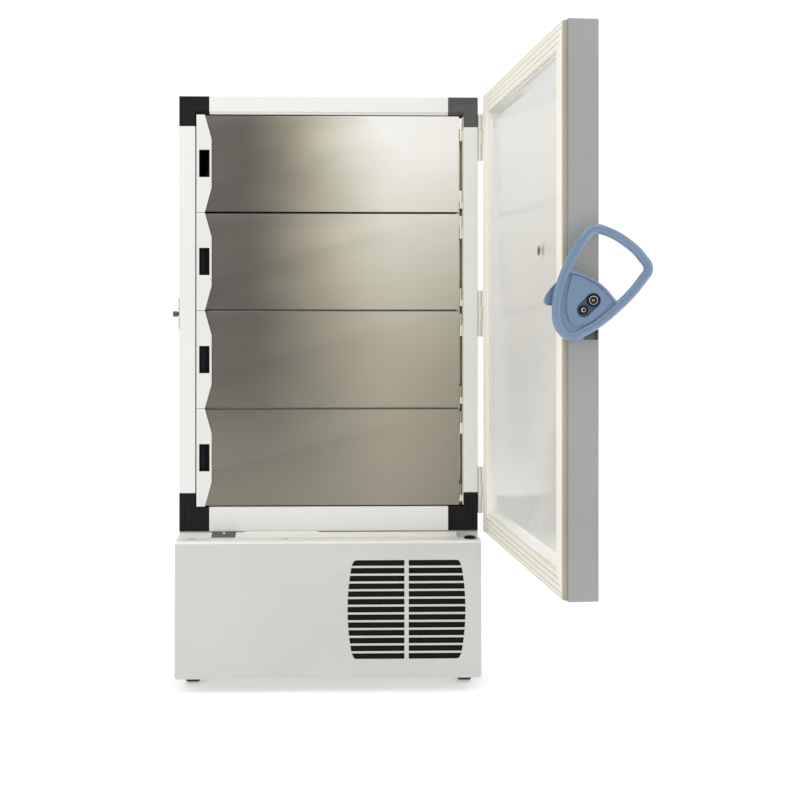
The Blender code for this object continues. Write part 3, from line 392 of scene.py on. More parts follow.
def turned(profile, steps=32, turn=None, cap=True):
    """A surface of revolution about Z of (radius, height) points."""
    bm = bmesh.new()
    rings = []
    for radius, height in profile:
        if radius < 1e-6:
            rings.append([bm.verts.new((0, 0, height))])
        else:
            rings.append(
                [
                    bm.verts.new((radius * math.cos(a), radius * math.sin(a), height))
                    for a in (math.tau * i / steps for i in range(steps))
                ]
            )
    for first, second in zip(rings, rings[1:]):
        for i in range(steps):
            j = (i + 1) % steps
            corners = [
                first[i % len(first)],
                first[j % len(first)],
                second[j % len(second)],
                second[i % len(second)],
            ]
            unique = list(dict.fromkeys(corners))
            if len(unique) > 2:
                bm.faces.new(unique)
    for ring in (rings[0], rings[-1]):
        if cap and len(ring) > 1:
            bm.faces.new(ring)
    return to_mesh(bm, turn)


def block(low, high, radius=0.0005, turn=None, segments=2):
    """A box with rounded edges."""
    low, high = Vector(low), Vector(high)
    bm = bmesh.new()
    bmesh.ops.create_cube(
        bm, size=1, matrix=Matrix.Translation((low + high) / 2) @ Matrix.Diagonal((*(high - low), 1))
    )
    bmesh.ops.bevel(bm, geom=bm.edges[:], offset=radius, segments=segments, profile=0.5, affect="EDGES")
    return to_mesh(bm, turn)


def merged(meshes):
    bm = bmesh.new()
    for mesh in meshes:
        bm.from_mesh(mesh)
        bpy.data.meshes.remove(mesh)
    mesh = bpy.data.meshes.new("piece")
    bm.to_mesh(mesh)
    bm.free()
    return mesh


def along(point, axis):
    """Moves +Z of a mesh at the origin to this axis at this point."""
    return Matrix.Translation(point) @ Vector(axis).to_track_quat("Z", "Y").to_matrix().to_4x4()


def screw_head(point, axis, radius=0.004, height=0.0012):
    """A domed screw head with a small round recess in its top, standing on a surface."""
    turn = along(point, axis)
    dome = [
        (radius, 0),
        (radius, height * 0.35),
        (radius * 0.86, height * 0.75),
        (radius * 0.5, height * 0.97),
        (radius * 0.16, height),
    ]
    dome += [(radius * 0.12, height * 0.45), (0, height * 0.4)]
    return turned(dome, 14, turn)


# ---- where things are -------------------------------------------------------------------------------------
def joint_place(name):
    return Vector(joints[name]["pos_m"])


hinge = joint_place("outer_door_hinge")
door_angle = math.radians(-joints["outer_door_hinge"]["range_deg"][0])
# from the door shut to the door at rest
DOOR = Matrix.Translation(hinge) @ Matrix.Rotation(door_angle, 4, "Z") @ Matrix.Translation(-hinge)
UNDO = DOOR.inverted()


def shut_box(node_name):
    """A door node's box with the door shut."""
    points = [UNDO @ v.co for v in nodes[node_name].data.vertices]
    return Vector(map(min, zip(*points))), Vector(map(max, zip(*points)))


strip_low, strip_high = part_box("breaker_left")
front = strip_low.y
side = -strip_low.x
skin_low, skin_high = shut_box("door_skin")
gasket_low, gasket_high = shut_box("door_gasket")
panel_low, panel_high = shut_box("door_panel")


# ---- camera, lights, floor --------------------------------------------------------------------------------
def build_stage():
    camera_data = bpy.data.cameras.new("camera")
    camera_data.sensor_width = 36
    camera_data.lens = 52.43
    camera_data.shift_x = 0.0299
    camera_data.shift_y = -0.0959
    camera_data.dof.use_dof = False
    camera = bpy.data.objects.new("camera", camera_data)
    camera.location = (0.067, front - 3.939, 1.215)
    camera.rotation_euler = (math.pi / 2, 0, -0.0234)
    bpy.context.scene.collection.objects.link(camera)
    bpy.context.scene.camera = camera

    world = bpy.data.worlds.new("studio")
    world.use_nodes = True
    world.node_tree.nodes["Background"].inputs["Color"].default_value = (1.0, 1.0, 1.0, 1)
    tree = world.node_tree
    ray = tree.nodes.new("ShaderNodeLightPath")
    level = tree.nodes.new("ShaderNodeMapRange")
    level.inputs["To Min"].default_value = 0.80
    level.inputs["To Max"].default_value = 1.03
    tree.links.new(ray.outputs["Is Camera Ray"], level.inputs["Value"])
    tree.links.new(level.outputs["Result"], tree.nodes["Background"].inputs["Strength"])
    bpy.context.scene.world = world
    bpy.context.scene.view_settings.view_transform = "Standard"

    def area(name, place, target, size, power, colour=(1, 1, 1)):
        data = bpy.data.lights.new(name, "AREA")
        data.shape = "RECTANGLE"
        data.size, data.size_y = size
        data.energy = power
        data.color = colour
        lamp = bpy.data.objects.new(name, data)
        lamp.location = place
        lamp.rotation_euler = (Vector(target) - Vector(place)).to_track_quat("-Z", "Y").to_euler()
        bpy.context.scene.collection.objects.link(lamp)

    area("overhead", (0.2, -1.6, 4.6), (0.2, -0.4, 0.6), (4.5, 3.5), 55)
    area("key_left", (-3.4, -3.6, 2.6), (0.0, -0.3, 1.1), (2.0, 3.0), 18)
    area("fill_right", (3.4, -3.2, 2.2), (0.3, -0.5, 1.1), (1.6, 2.6), 13)

    bm = bmesh.new()
    bmesh.ops.create_grid(bm, x_segments=1, y_segments=1, size=30)
    floor = bpy.data.objects.new("floor", to_mesh(bm))
    material = new_material("floor", 0.6, 0.0)
    shader = material.node_tree.nodes["Principled BSDF"]
    shader.inputs["Base Color"].default_value = (0.92, 0.92, 0.92, 1)
    shader.inputs["Emission Color"].default_value = (1, 1, 1, 1)
    shader.inputs["Emission Strength"].default_value = 0.32
    floor.data.materials.append(material)
    bpy.context.scene.collection.objects.link(floor)


# ---- cabinet ----------------------------------------------------------------------------------------------
def stepped(bm):
    """Two shallow steps, parallel to the outline, pressed into a corner piece's front face."""
    face = max((f for f in bm.faces if f.normal.y < -0.9), key=lambda f: f.calc_area())
    for thickness, depth in ((0.0095, 0.0), (0.0016, -0.0014), (0.0055, 0.0), (0.0016, -0.0010)):
        bmesh.ops.inset_region(bm, faces=[face], thickness=thickness, depth=depth, use_even_offset=True)


def build_cabinet():
    shell_low, shell_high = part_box("cabinet_shell")

    def set_back(bm):
        for v in bm.verts:
            if v.co.y > shell_high.y - 0.0002:
                v.co.y -= 0.0008

    fine("cabinet_shell", WHITE, 0.0004, 1, set_back)
    for name in ("breaker_top", "breaker_bottom", "breaker_left", "breaker_right"):
        fine(name, STRIP, 0.0016, 3)
    for name in ("corner_top_left", "corner_top_right", "corner_bottom_left", "corner_bottom_right"):
        # the top right corner takes the painted-highlight copy of the black plastic
        fine(name, LIT_CORNER_BLACK if name == "corner_top_right" else BLACK, 0.0012, 2, stepped)
    fine("latch_strike", DARK, 0.0004, 1)
    dress("cabinet_insulation", FOAM)
    dress("inner_liner", LINER)
    for i in range(1, 4):
        dress(f"shelf_{i}", LINER)
    fine("inner_hinge_rail", CREAM, 0.0003, 1)
    strike_low, strike_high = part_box("latch_strike")
    centre = (strike_low + strike_high) / 2
    rim = [(0.0, 0.0002), (0.0092, 0.0002), (0.0095, 0.0006), (0.0095, 0.0012), (0.0, 0.0012)]
    place = along((strike_low.x + 0.0012, centre.y, centre.z), (-1, 0, 0))
    place_mesh("strike_roller_cap", turned(rim, 28, place), BLACK, "cabinet")

    # seams and screws on the cabinet's back, which stand just proud of its sheet
    screws, seams = [], []
    for x in (-0.45, -0.15, 0.15, 0.45):
        for z in (shell_low.z + 0.02, shell_high.z - 0.02):
            screws.append(screw_head((x, shell_high.y - 0.0011, z), (0, 1, 0), 0.0045, 0.0010))
    for z in (0.72, 1.05, 1.38, 1.71):
        for x in (-side + 0.012, side - 0.012):
            screws.append(screw_head((x, shell_high.y - 0.0011, z), (0, 1, 0), 0.0045, 0.0010))
    place_mesh("back_screws", merged(screws), STEEL, "cabinet")
    for z in (shell_low.z + 0.040, shell_high.z - 0.040):
        seams.append(
            block(
                (-side + 0.003, shell_high.y - 0.0006, z - 0.0011),
                (side - 0.003, shell_high.y - 0.0002, z + 0.0011),
                0.0002,
            ),
        )
    for x in (-side + 0.026, side - 0.026):
        seams.append(
            block(
                (x - 0.0011, shell_high.y - 0.0006, shell_low.z + 0.042),
                (x + 0.0011, shell_high.y - 0.0002, shell_high.z - 0.042),
                0.0002,
            ),
        )
    place_mesh("back_seams", merged(seams), DARK_SEAM_AND_SLOT_SHADE, "cabinet")


# ---- inner doors ------------------------------------------------------------------------------------------
def build_inner_doors():
    def split_faces(bm):
        for face in bm.faces:
            face.material_index = 1 if face.normal.y > 0.5 else 0

    for i in range(1, 5):
        fine(f"inner_door_{i}", [SHEET, CAP], 0.0012, 2, split_faces)
        low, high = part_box(f"inner_door_{i}")
        back = low.y + 0.0360
        lips = [
            (0.0, back + 0.0002, 0),
            (0.001, back + 0.0026, 0),
            (0.006, back + 0.0030, 0),
            (0.012, back + 0.0012, 0),
            (0.013, back + 0.0002, 0),
        ]
        inset_low, inset_high = Vector((-0.40, 0, low.z + 0.004)), Vector((0.434, 0, high.z - 0.004))
        seal = place_mesh(
            f"inner_door_seal_{i}", swept_frame(lips, inset_low, inset_high, None), GASKET, f"inner_door_{i}"
        )
        fine(f"inner_door_cap_{i}", CAP, 0.0010, 2)
        fine(f"inner_door_pull_{i}", BLACK, 0.0006, 2)


# ---- outer door -------------------------------------------------------------------------------------------
def swept_frame(profile, outer_low, outer_high, turn=DOOR):
    """A section of (inset, y, material) points carried round the door, mitred at its corners."""
    bm = bmesh.new()
    rings = []
    for inset, y, _ in profile:
        x0, x1 = outer_low.x + inset, outer_high.x - inset
        z0, z1 = outer_low.z + inset, outer_high.z - inset
        rings.append([bm.verts.new(p) for p in ((x0, y, z0), (x1, y, z0), (x1, y, z1), (x0, y, z1))])
    count = len(rings)
    for i in range(count):
        near, far = rings[i], rings[(i + 1) % count]
        for k in range(4):
            face = bm.faces.new((near[k], near[(k + 1) % 4], far[(k + 1) % 4], far[k]))
            face.material_index = profile[i][2]
    return to_mesh(bm, turn)


def gasket_profile():
    """Rounded lips side by side, as (inset, y, material), with painted shade in the creases between them, on
    the first lip's outer side and on the outer flank.
    """
    band, back, crest, lips = 0.064, gasket_low.y, gasket_high.y, 4
    pitch = band / lips
    points = [(0.0, back, 2)]
    for i in range(lips):
        for step in range(9):
            angle = math.pi * (0.06 + 0.88 * step / 8)
            x = i * pitch + pitch * (0.5 - 0.46 * math.cos(angle))
            y = crest - 0.0052 * (1 - math.sin(angle) ** 0.7)
            # painted shade on the creases and on the first lip's outer side
            in_painted_shade = step == 8 and i < lips - 1 or step < 3 and i == 0
            points.append((x, y, 1 if in_painted_shade else 0))
    points.append((band, back, 0))
    return points


def oval(width, height, steps=28):
    return [
        (width / 2 * math.cos(math.tau * i / steps), height / 2 * math.sin(math.tau * i / steps))
        for i in range(steps)
    ]


def flat_ring(outer, inner, near, far, centre):
    """A ring between two outlines, standing on a face square to Y, from near to far."""
    bm = bmesh.new()
    loops = [
        [bm.verts.new((centre.x + x, y, centre.z + z)) for x, z in outline]
        for outline, y in ((outer, near), (outer, far), (inner, far), (inner, near))
    ]
    for first, second in zip(loops, loops[1:] + loops[:1]):
        for i in range(len(first)):
            j = (i + 1) % len(first)
            bm.faces.new((first[i], first[j], second[j], second[i]))
    return to_mesh(bm, DOOR)


def slab(outline, near, far, centre, turn=DOOR):
    """A plate square to Y, its outline in (x, z) about a centre."""
    bm = bmesh.new()
    face = bm.faces.new([bm.verts.new((centre.x + x, near, centre.z + z)) for x, z in outline])
    made = bmesh.ops.extrude_face_region(bm, geom=[face])["geom"]
    for v in (g for g in made if isinstance(g, bmesh.types.BMVert)):
        v.co.y = far
    return to_mesh(bm, turn)


def build_vent_port():
    """The brass-rimmed pressure port on the door's inner panel."""
    centre = Vector((-0.235, 0, 1.415))
    face = panel_high.y
    rim = flat_ring(oval(0.033, 0.027), oval(0.021, 0.015), face - 0.0005, face + 0.0016, centre)
    rim = place_mesh("vent_port_rim", rim, BRASS, "outer_door", 60)
    soften(rim, 0.0006, 2)
    # painted shade: a thin dark disc inside the rim stands in for the shaded inside of the port
    bore = place_mesh(
        "vent_port_bore",
        slab(oval(0.0212, 0.0152), face - 0.0003, face + 0.0005, centre),
        DARK,
        "outer_door",
    )


def build_control_panel():
    """A dark fascia with a plain display and four blank touch pads. Nothing is written on it."""
    low, high = shut_box("control_panel")
    middle = (low + high) / 2
    fine("control_panel", BLACK, 0.0010, 3)
    screen = block(
        (middle.x - 0.085, low.y - 0.0004, middle.z - 0.005),
        (middle.x + 0.085, low.y + 0.001, middle.z + 0.060),
        0.0004,
        DOOR,
    )
    place_mesh("display", screen, GLASS, "outer_door")
    pads = []
    for i in range(4):
        x = middle.x - 0.0825 + i * 0.043
        pads.append(
            block(
                (x, low.y - 0.0004, middle.z - 0.052),
                (x + 0.036, low.y + 0.001, middle.z - 0.024),
                0.0004,
                DOOR,
            ),
        )
    place_mesh("touch_pads", merged(pads), BUTTON, "outer_door")


def build_outer_door():
    def rim(bm):
        for face in bm.faces:
            face.material_index = 1 if (UNDO.to_3x3() @ face.normal).y < -0.5 else 0

    fine("door_skin", [EDGE_GREY, WHITE], 0.0035, 4, rim)
    dress("door_core", FOAM)
    fine("door_panel", PANEL_FLOOR_LIT, 0.0016, 3)
    materials = [GASKET, GASKET_CREASE_SHADE, GASKET_FLANK_SHADE]
    gasket = swept_frame(gasket_profile(), gasket_low, gasket_high)
    gasket = place_mesh("door_gasket_look", gasket, materials, "outer_door", 50)
    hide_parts("door_gasket")

    # the retaining channel that shows between the gasket and the door's edge, given the flank's painted
    # shade
    lip = [
        (-0.0002, gasket_low.y - 0.0001, 0),
        (-0.0002, gasket_low.y + 0.0022, 0),
        (0.0018, gasket_low.y + 0.0022, 0),
    ]
    lip += [(0.0018, gasket_low.y - 0.0001, 0)]
    place_mesh("gasket_channel", swept_frame(lip, gasket_low, gasket_high), GASKET_FLANK_SHADE, "outer_door")

    build_vent_port()
    build_control_panel()
    for i in range(1, 4):
        fine(f"hinge_cabinet_leaf_{i}", HINGE, 0.0006, 2)
        fine(f"hinge_door_leaf_{i}", HINGE, 0.0006, 2)
        low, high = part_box(f"hinge_cabinet_leaf_{i}")
        face = side + 0.0058 if high.x > side + 0.008 else high.x
        heads = [
            screw_head((face - 0.0006, high.y - 0.014, low.z + z), (1, 0, 0), 0.0042, 0.0011)
            for z in (0.022, 0.078, 0.134)
        ]
        place_mesh(f"hinge_screws_{i}", merged(heads), STEEL, "cabinet")
    fine("handle_bracket", DARK, 0.0003, 1)


# ---- handle -----------------------------------------------------------------------------------------------
def edge_place(out, up, standoff):
    pivot = UNDO @ joint_place("handle_turn")
    return Vector((pivot.x - standoff, pivot.y - out, pivot.z + up))


# Points on the handle are (out, up) in millimetres from its pivot, as in the CAD.
LOOP = ((-14, 166), (4, 179), (30, 175), (91, 143), (128, 108), (144, 79), (131, 56), (57, -23), (-17, -75))
LOOP += ((-56, -89), (-83, -69), (-92, -22), (-77, 51), (-44, 120))
WEB_TOP = ((-51, 70), (-22, 61), (8, 44.5), (31, 26), (53, 1))
PLATEAU = (
    (-62, 36), (-69, 3), (-69, -28), (-64, -46), (-55, -59), (-43, -65), (-22, -61), (0, -49.5), (21, -32),
    (42, -11),
)
SMALL_LOCK = (-0.0245, -0.0243)
TUBE_RADIUS = 0.0122


def bezier_loop(points, standoff, radius, cyclic=True, fine_steps=20, round_steps=7):
    """A smooth tube along points on the door's edge face."""
    curve = bpy.data.curves.new("tube", "CURVE")
    curve.dimensions = "3D"
    curve.resolution_u = fine_steps
    curve.bevel_depth = radius
    curve.bevel_resolution = round_steps
    curve.use_fill_caps = not cyclic
    spline = curve.splines.new("BEZIER")
    spline.bezier_points.add(len(points) - 1)
    for point, (out, up) in zip(spline.bezier_points, points):
        point.co = edge_place(out, up, standoff)
        point.handle_left_type = point.handle_right_type = "AUTO"
    spline.use_cyclic_u = cyclic
    holder = bpy.data.objects.new("tube", curve)
    bpy.context.scene.collection.objects.link(holder)
    bpy.context.view_layer.update()
    mesh = bpy.data.meshes.new_from_object(holder.evaluated_get(bpy.context.evaluated_depsgraph_get()))
    bpy.data.objects.remove(holder)
    bm = bmesh.new()
    bm.from_mesh(mesh)
    bmesh.ops.remove_doubles(bm, verts=bm.verts, dist=1e-6)
    return to_mesh(bm, DOOR)


def centre_line(points, steps=10):
    """Points along the closed loop's centre line, in (out, up)."""
    curve = bpy.data.curves.new("line", "CURVE")
    curve.dimensions = "3D"
    curve.resolution_u = steps
    spline = curve.splines.new("BEZIER")
    spline.bezier_points.add(len(points) - 1)
    for point, (out, up) in zip(spline.bezier_points, points):
        point.co = (out, up, 0)
        point.handle_left_type = point.handle_right_type = "AUTO"
    spline.use_cyclic_u = True
    holder = bpy.data.objects.new("line", curve)
    bpy.context.scene.collection.objects.link(holder)
    bpy.context.view_layer.update()
    mesh = bpy.data.meshes.new_from_object(holder.evaluated_get(bpy.context.evaluated_depsgraph_get()))
    bpy.data.objects.remove(holder)
    return [(v.co.x, v.co.y) for v in mesh.vertices]


def edge_slab(outline, near, far):
    """A slab parallel to the door's edge face, its outline in (out, up)."""
    bm = bmesh.new()
    top = bm.faces.new([bm.verts.new(edge_place(out, up, far)) for out, up in outline])
    made = bmesh.ops.extrude_face_region(bm, geom=[top])["geom"]
    for v in (g for g in made if isinstance(g, bmesh.types.BMVert)):
        v.co.x += far - near
    return to_mesh(bm, DOOR)


def obround(first, second, radius, steps=14):
    angle = math.atan2(second[1] - first[1], second[0] - first[0])
    points = []
    for centre, start in ((first, angle + math.pi / 2), (second, angle - math.pi / 2)):
        for i in range(steps + 1):
            turn = start + math.pi * i / steps
            points.append((centre[0] + radius * math.cos(turn), centre[1] + radius * math.sin(turn)))
    return points


def build_handle():
    loop, top, plateau = ([(x / 1000, z / 1000) for x, z in points] for points in (LOOP, WEB_TOP, PLATEAU))
    tube = place_mesh("handle_loop", bezier_loop(loop, 0.038, TUBE_RADIUS), BLUE, "handle", 60)
    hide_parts("handle")

    line = centre_line(loop)
    first = min(range(len(line)), key=lambda i: math.dist(line[i], (-0.069, 0.076)))
    last = min(range(len(line)), key=lambda i: math.dist(line[i], (0.070, -0.010)))
    lower = line[last : first + 1] if last < first else line[last:] + line[: first + 1]
    web = place_mesh(
        "handle_web", edge_slab(lower + [(-0.064, 0.073), *top], 0.030, 0.0415), BLUE, "handle", 30
    )
    soften(web, 0.0012, 2)
    inner_top = [(x - 0.0022, z - 0.0036) for x, z in top]
    raised = edge_slab([*plateau, *reversed(inner_top)], 0.0405, 0.0470)
    raised = place_mesh("handle_web_face", raised, BLUE, "handle", 30)
    cutter = bpy.data.objects.new("pocket", edge_slab(obround((0, 0), SMALL_LOCK, 0.0182), 0.0400, 0.060))
    bpy.context.scene.collection.objects.link(cutter)
    for piece in (web, raised):
        cut = piece.modifiers.new("pocket", "BOOLEAN")
        cut.operation = "DIFFERENCE"
        cut.object = cutter
        bake(piece)
        piece.data.set_sharp_from_angle(angle=math.radians(30))
    soften(raised, 0.0030, 5)
    bpy.data.objects.remove(cutter)
    bead = bezier_loop([(-0.066, 0.073), *top, (0.070, -0.013)], 0.0440, 0.0042, False, 10, 4)
    bead = place_mesh("handle_web_bead", bead, BLUE, "handle", 60)
    # the pocket floor carries the painted shade of the recess
    floor = edge_slab(obround((0, 0), SMALL_LOCK, 0.0180), 0.0385, 0.0412)
    floor = place_mesh("handle_pocket_floor", floor, BLUE_RECESS_SHADE, "handle")

    hook = place_mesh("handle_hook", hook_mesh(), BLUE, "handle", 30)
    soften(hook, 0.0018, 3)

    axis = (DOOR.to_3x3() @ Vector((-1, 0, 0))).normalized()
    big = DOOR @ edge_place(0, 0, 0.0413)
    rings = {
        "lock_bezel": (
            BLACK,
            [
                (0.0156, 0.0),
                (0.0156, 0.0050),
                (0.0146, 0.0060),
                (0.0122, 0.0060),
                (0.0116, 0.0048),
                (0.0116, 0.0),
            ],
        ),
        "lock_ring": (
            CHROME,
            [
                (0.0117, 0.0),
                (0.0117, 0.0046),
                (0.0110, 0.0054),
                (0.0096, 0.0052),
                (0.0090, 0.0040),
                (0.0090, 0.0),
            ],
        ),
        "lock_barrel": (
            BLACK,
            [
                (0.0091, 0.0),
                (0.0091, 0.0040),
                (0.0082, 0.0048),
                (0.0046, 0.0048),
                (0.0042, 0.0036),
                (0.0, 0.0034),
            ],
        ),
        "lock_key_plug": (
            BRASS,
            [
                (0.0041, 0.0),
                (0.0041, 0.0040),
                (0.0034, 0.0046),
                (0.0013, 0.0046),
                (0.0010, 0.0022),
                (0.0, 0.0022),
            ],
        ),
    }
    for index, (name, (material, profile)) in enumerate(rings.items()):
        piece = place_mesh(name, turned(profile, 40, along(big, axis)), material, "lock")
        if index == 0:
            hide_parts("lock_cylinder")
    small = DOOR @ edge_place(*SMALL_LOCK, 0.0400)
    for name, material, profile in (
        (
            "screw_bezel",
            BLACK,
            [
                (0.0114, 0.0),
                (0.0114, 0.0044),
                (0.0106, 0.0052),
                (0.0072, 0.0052),
                (0.0066, 0.0040),
                (0.0, 0.0038),
            ],
        ),
        (
            "screw_plug",
            CHROME,
            [
                (0.0062, 0.0),
                (0.0062, 0.0050),
                (0.0054, 0.0058),
                (0.0040, 0.0058),
                (0.0034, 0.0048),
                (0.0034, 0.0),
            ],
        ),
    ):
        piece = place_mesh(name, turned(profile, 32, along(small, axis)), material, "handle")


def bake(obj):
    """Applies the object's modifiers."""
    bpy.context.view_layer.update()
    mesh = bpy.data.meshes.new_from_object(obj.evaluated_get(bpy.context.evaluated_depsgraph_get()))
    materials = list(obj.data.materials)
    obj.modifiers.clear()
    obj.data = mesh
    mesh.materials.clear()
    for material in materials:
        mesh.materials.append(material)


def hook_mesh():
    """The CAD handle's hook alone: what lies between the door's edge and the tube."""
    bm = clean_copy("handle", False)
    bm.transform(UNDO)
    pivot = UNDO @ joint_place("handle_turn")
    for far in (0.0191, 0.0089):
        bmesh.ops.bisect_plane(
            bm,
            geom=bm.verts[:] + bm.edges[:] + bm.faces[:],
            plane_co=(pivot.x - far, 0, 0),
            plane_no=(-1, 0, 0) if far > 0.015 else (1, 0, 0),
            clear_outer=True,
        )
        bmesh.ops.holes_fill(bm, edges=[e for e in bm.edges if e.is_boundary], sides=0)
    bmesh.ops.dissolve_limit(bm, angle_limit=math.radians(1), verts=bm.verts, edges=bm.edges)
    return to_mesh(bm, DOOR)


# ---- base -------------------------------------------------------------------------------------------------
ledge_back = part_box("base_cover")[0].y + 0.02


GRILLE_X, GRILLE_Z = (0.05, 0.47), (0.11, 0.45)  # the part of the cover that the slots lie in


def ledge_faces(bm):
    """Gives the faces that look up the lighter ledge colour, painted light from above, and the grille's cut
    edges painted shade, near black.
    """
    for face in bm.faces:
        middle = face.calc_center_median()
        across = GRILLE_X[0] < middle.x < GRILLE_X[1]
        up = GRILLE_Z[0] < middle.z < GRILLE_Z[1]
        cut = across and up and middle.y < ledge_back and abs(face.normal.y) < 0.5
        face.material_index = 2 if cut else int(face.normal.z > 0.5)


def build_ledge():
    """What stands on the ledge under the door: the door switch's plate, and two drain slots drawn as flat
    ovals of painted shade.
    """
    sill_low, sill_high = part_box("base_sill")
    cover_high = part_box("base_cover")[1]
    back, top = strip_low.y - 0.0020, sill_high.z
    front_y, low, thickness = back - 0.0345, top - 0.0113, 0.0018
    x0, x1 = -0.3925, -0.3130
    corners = [(x0, back, top - 0.0002), (x1, back, top - 0.0002), (x1, front_y, low), (x0, front_y, low)]
    bm = bmesh.new()
    face = bm.faces.new([bm.verts.new(c) for c in corners])
    bm.normal_update()
    made = bmesh.ops.extrude_face_region(bm, geom=[face])["geom"]
    for v in (g for g in made if isinstance(g, bmesh.types.BMVert)):
        v.co.z += thickness
    plate = place_mesh("door_switch_plate", to_mesh(bm), DARK, "cabinet")
    soften(plate, 0.0004, 2)
    slope = Vector((0, low - top, back - front_y)).normalized()
    spot = Vector(((x0 + x1) / 2, back - 0.0085, top - 0.0028 + 0.0016))
    place_mesh("door_switch_button", screw_head(spot, slope, 0.0048, 0.0016), CAP, "cabinet")
    # painted shade: each drain slot is a flat dark oval laid on the cover
    for name, x, length in (("left", -0.4536, 0.026), ("middle", -0.1444, 0.022)):
        outline = [(x + a * length / 2, b * 0.0028) for a, b in oval(2, 2)]
        bm = bmesh.new()
        bm.faces.new([bm.verts.new((px, -0.4255 + py, cover_high.z + 0.0002)) for px, py in outline])
        made = bmesh.ops.extrude_face_region(bm, geom=bm.faces[:])["geom"]
        for v in (g for g in made if isinstance(g, bmesh.types.BMVert)):
            v.co.z += 0.0004
        place_mesh(f"ledge_mark_{name}", to_mesh(bm), DARK_SEAM_AND_SLOT_SHADE, "cover")


def copper(name, points, radius=0.0048):
    """A refrigerant line through these points."""
    curve = bpy.data.curves.new(name, "CURVE")
    curve.dimensions = "3D"
    curve.resolution_u = 8
    curve.bevel_depth = radius
    curve.bevel_resolution = 3
    curve.use_fill_caps = True
    spline = curve.splines.new("BEZIER")
    spline.bezier_points.add(len(points) - 1)
    for point, place in zip(spline.bezier_points, points):
        point.co = place
        point.handle_left_type = point.handle_right_type = "AUTO"
    holder = bpy.data.objects.new(name, curve)
    bpy.context.scene.collection.objects.link(holder)
    bpy.context.view_layer.update()
    mesh = bpy.data.meshes.new_from_object(holder.evaluated_get(bpy.context.evaluated_depsgraph_get()))
    bpy.data.objects.remove(holder)
    place_mesh(name, mesh, COPPER, "cabinet", 60)


def build_machinery():
    cans = {}
    for name in ("compressor_high_stage", "compressor_low_stage"):
        dress(name, COMPRESSOR, 20)
        low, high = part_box(name)
        cans[name] = (low + high) / 2
        x, y = cans[name].x, cans[name].y
        box = block((x + 0.088, y - 0.030, low.z + 0.10), (x + 0.128, y + 0.030, low.z + 0.17), 0.003)
        place_mesh(name + "_terminals", box, BLACK, "cabinet")
        seam = turned(
            [(0.1010, 0.0), (0.1035, 0.0012), (0.1035, 0.0060), (0.1010, 0.0072)],
            40,
            Matrix.Translation((x, y, low.z + 0.115)),
            False,
        )
        place_mesh(name + "_seam", seam, COMPRESSOR, "cabinet", 50)
    low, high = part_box("condenser")
    first, second = cans["compressor_high_stage"], cans["compressor_low_stage"]
    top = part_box("compressor_high_stage")[1].z
    copper(
        "discharge_line",
        [
            (first.x + 0.05, first.y, top - 0.03),
            (first.x + 0.10, first.y, top + 0.02),
            (-0.05, first.y - 0.03, top + 0.03),
            (low.x - 0.004, (low.y + high.y) / 2, high.z - 0.03),
        ],
    )
    copper(
        "stage_line",
        [
            (first.x - 0.04, first.y + 0.03, top - 0.02),
            (first.x - 0.04, first.y + 0.12, top + 0.03),
            (second.x - 0.04, second.y - 0.05, top + 0.03),
            (second.x - 0.04, second.y - 0.02, top - 0.02),
        ],
    )
    dress("condenser", FINS)
    dress("condenser_fan", BLACK)
    fine("electronics_box", STEEL, 0.0015, 2)
    low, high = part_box("electronics_box")
    heads = []
    for x in (low.x + 0.02, high.x - 0.02):
        for y in (low.y + 0.02, high.y - 0.02):
            heads.append(screw_head((x, y, high.z - 0.0002), (0, 0, 1), 0.004, 0.0012))
    place_mesh("electronics_box_screws", merged(heads), STEEL, "cabinet")


def build_inlet():
    """The power inlet in the back of the base: a socket with three blades and no cord."""
    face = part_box("electronics_box")[1].y
    centre = Vector((0.360, 0, 0.182))
    shell = block(
        (centre.x - 0.0250, face - 0.001, centre.z - 0.0170),
        (centre.x + 0.0250, face + 0.0009, centre.z + 0.0170),
        0.0004,
    )
    place_mesh("inlet_body", shell, BLACK, "cabinet")
    pins = []
    for x, z in ((-0.009, -0.003), (0.0, 0.004), (0.009, -0.003)):
        middle = centre + Vector((x, 0, z))
        pins.append(
            block(
                (middle.x - 0.0012, face, middle.z - 0.0035),
                (middle.x + 0.0012, face + 0.0018, middle.z + 0.0035),
                0.0003,
            ),
        )
    place_mesh("inlet_blades", merged(pins), STEEL, "cabinet")


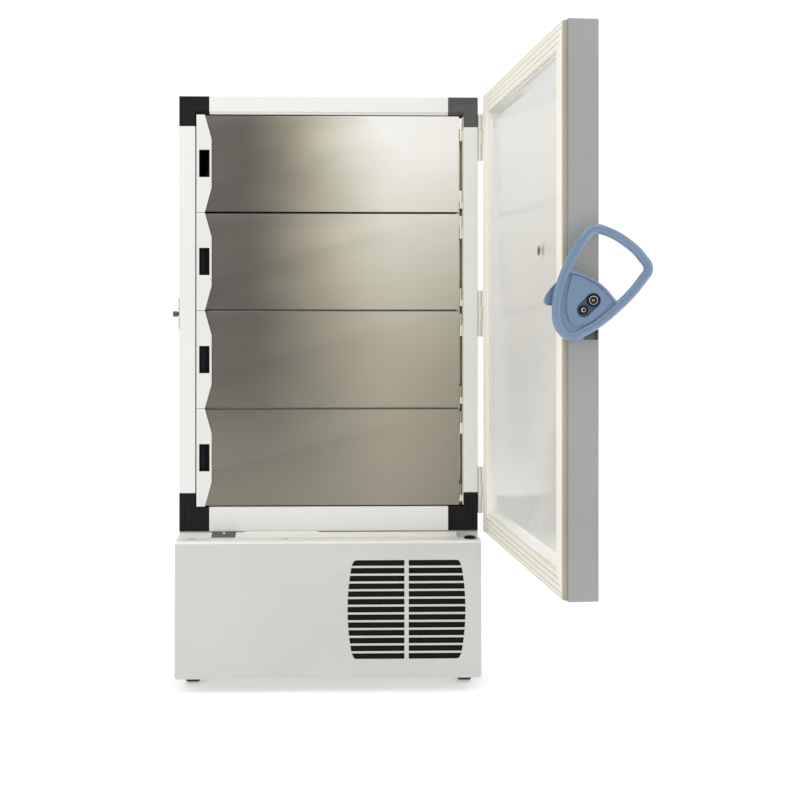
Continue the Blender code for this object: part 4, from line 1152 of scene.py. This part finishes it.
def build_base():
    fine("base_cover", [BASE_PAINT, LEDGE_LIT, PAINTED_SLOT_SHADE], 0.0004, 2, ledge_faces, whole=False)
    fine("base_sill", [BASE_PAINT, LEDGE_LIT], 0.0005, 1, ledge_faces)
    fine("base_chassis", BASE_PAINT, 0.0003, 1, whole=False)
    dress("air_filter", FILTER)
    fine("cover_pivot_cap", BLACK, 0.0004, 2)
    build_ledge()
    build_inlet()
    build_machinery()


def build_casters():
    for where in ("front_left", "front_right", "rear_left", "rear_right"):
        fine(f"caster_fork_{where}", STEEL, 0.0005, 2, whole=False)
        low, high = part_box(f"caster_wheel_{where}")
        centre, radius, half = (low + high) / 2, (high.z - low.z) / 2, (high.x - low.x) / 2
        turn = along(centre, (1, 0, 0))
        tread = [
            (0.0275, -half + 0.003),
            (0.0300, -half),
            (radius - 0.0030, -half + 0.0008),
            (radius - 0.0006, -half + 0.0045),
        ]
        tread += [(radius, -half + 0.009), (radius, half - 0.009)]
        tread += [
            (radius - 0.0006, half - 0.0045),
            (radius - 0.0030, half - 0.0008),
            (0.0300, half),
            (0.0275, half - 0.003),
        ]
        tyre = place_mesh(f"tyre_{where}", turned(tread, 48, turn, False), RUBBER, f"wheel_{where}", 50)
        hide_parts(f"caster_wheel_{where}")
        disc = [
            (0.0058, -half + 0.001),
            (0.0095, -half + 0.001),
            (0.0105, -half + 0.005),
            (0.0240, -half + 0.007),
            (0.0262, -half + 0.003),
        ]
        disc += [(0.0278, -half + 0.003)]
        disc += [(r, -h) for r, h in reversed(disc)]
        hub = place_mesh(f"hub_{where}", turned(disc, 40, turn, False), BUTTON, f"wheel_{where}", 40)
        fork_low, fork_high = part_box(f"caster_fork_{where}")
        ends = ((fork_low.x + 0.0002, -1), (fork_high.x - 0.0002, 1))
        bolts = [screw_head((x, centre.y, centre.z), (way, 0, 0), 0.0062, 0.0022) for x, way in ends]
        place_mesh(f"axle_bolt_{where}", merged(bolts), STEEL, f"caster_{where}")


build_stage()
build_cabinet()
build_inner_doors()
build_outer_door()
build_handle()
build_base()
build_casters()
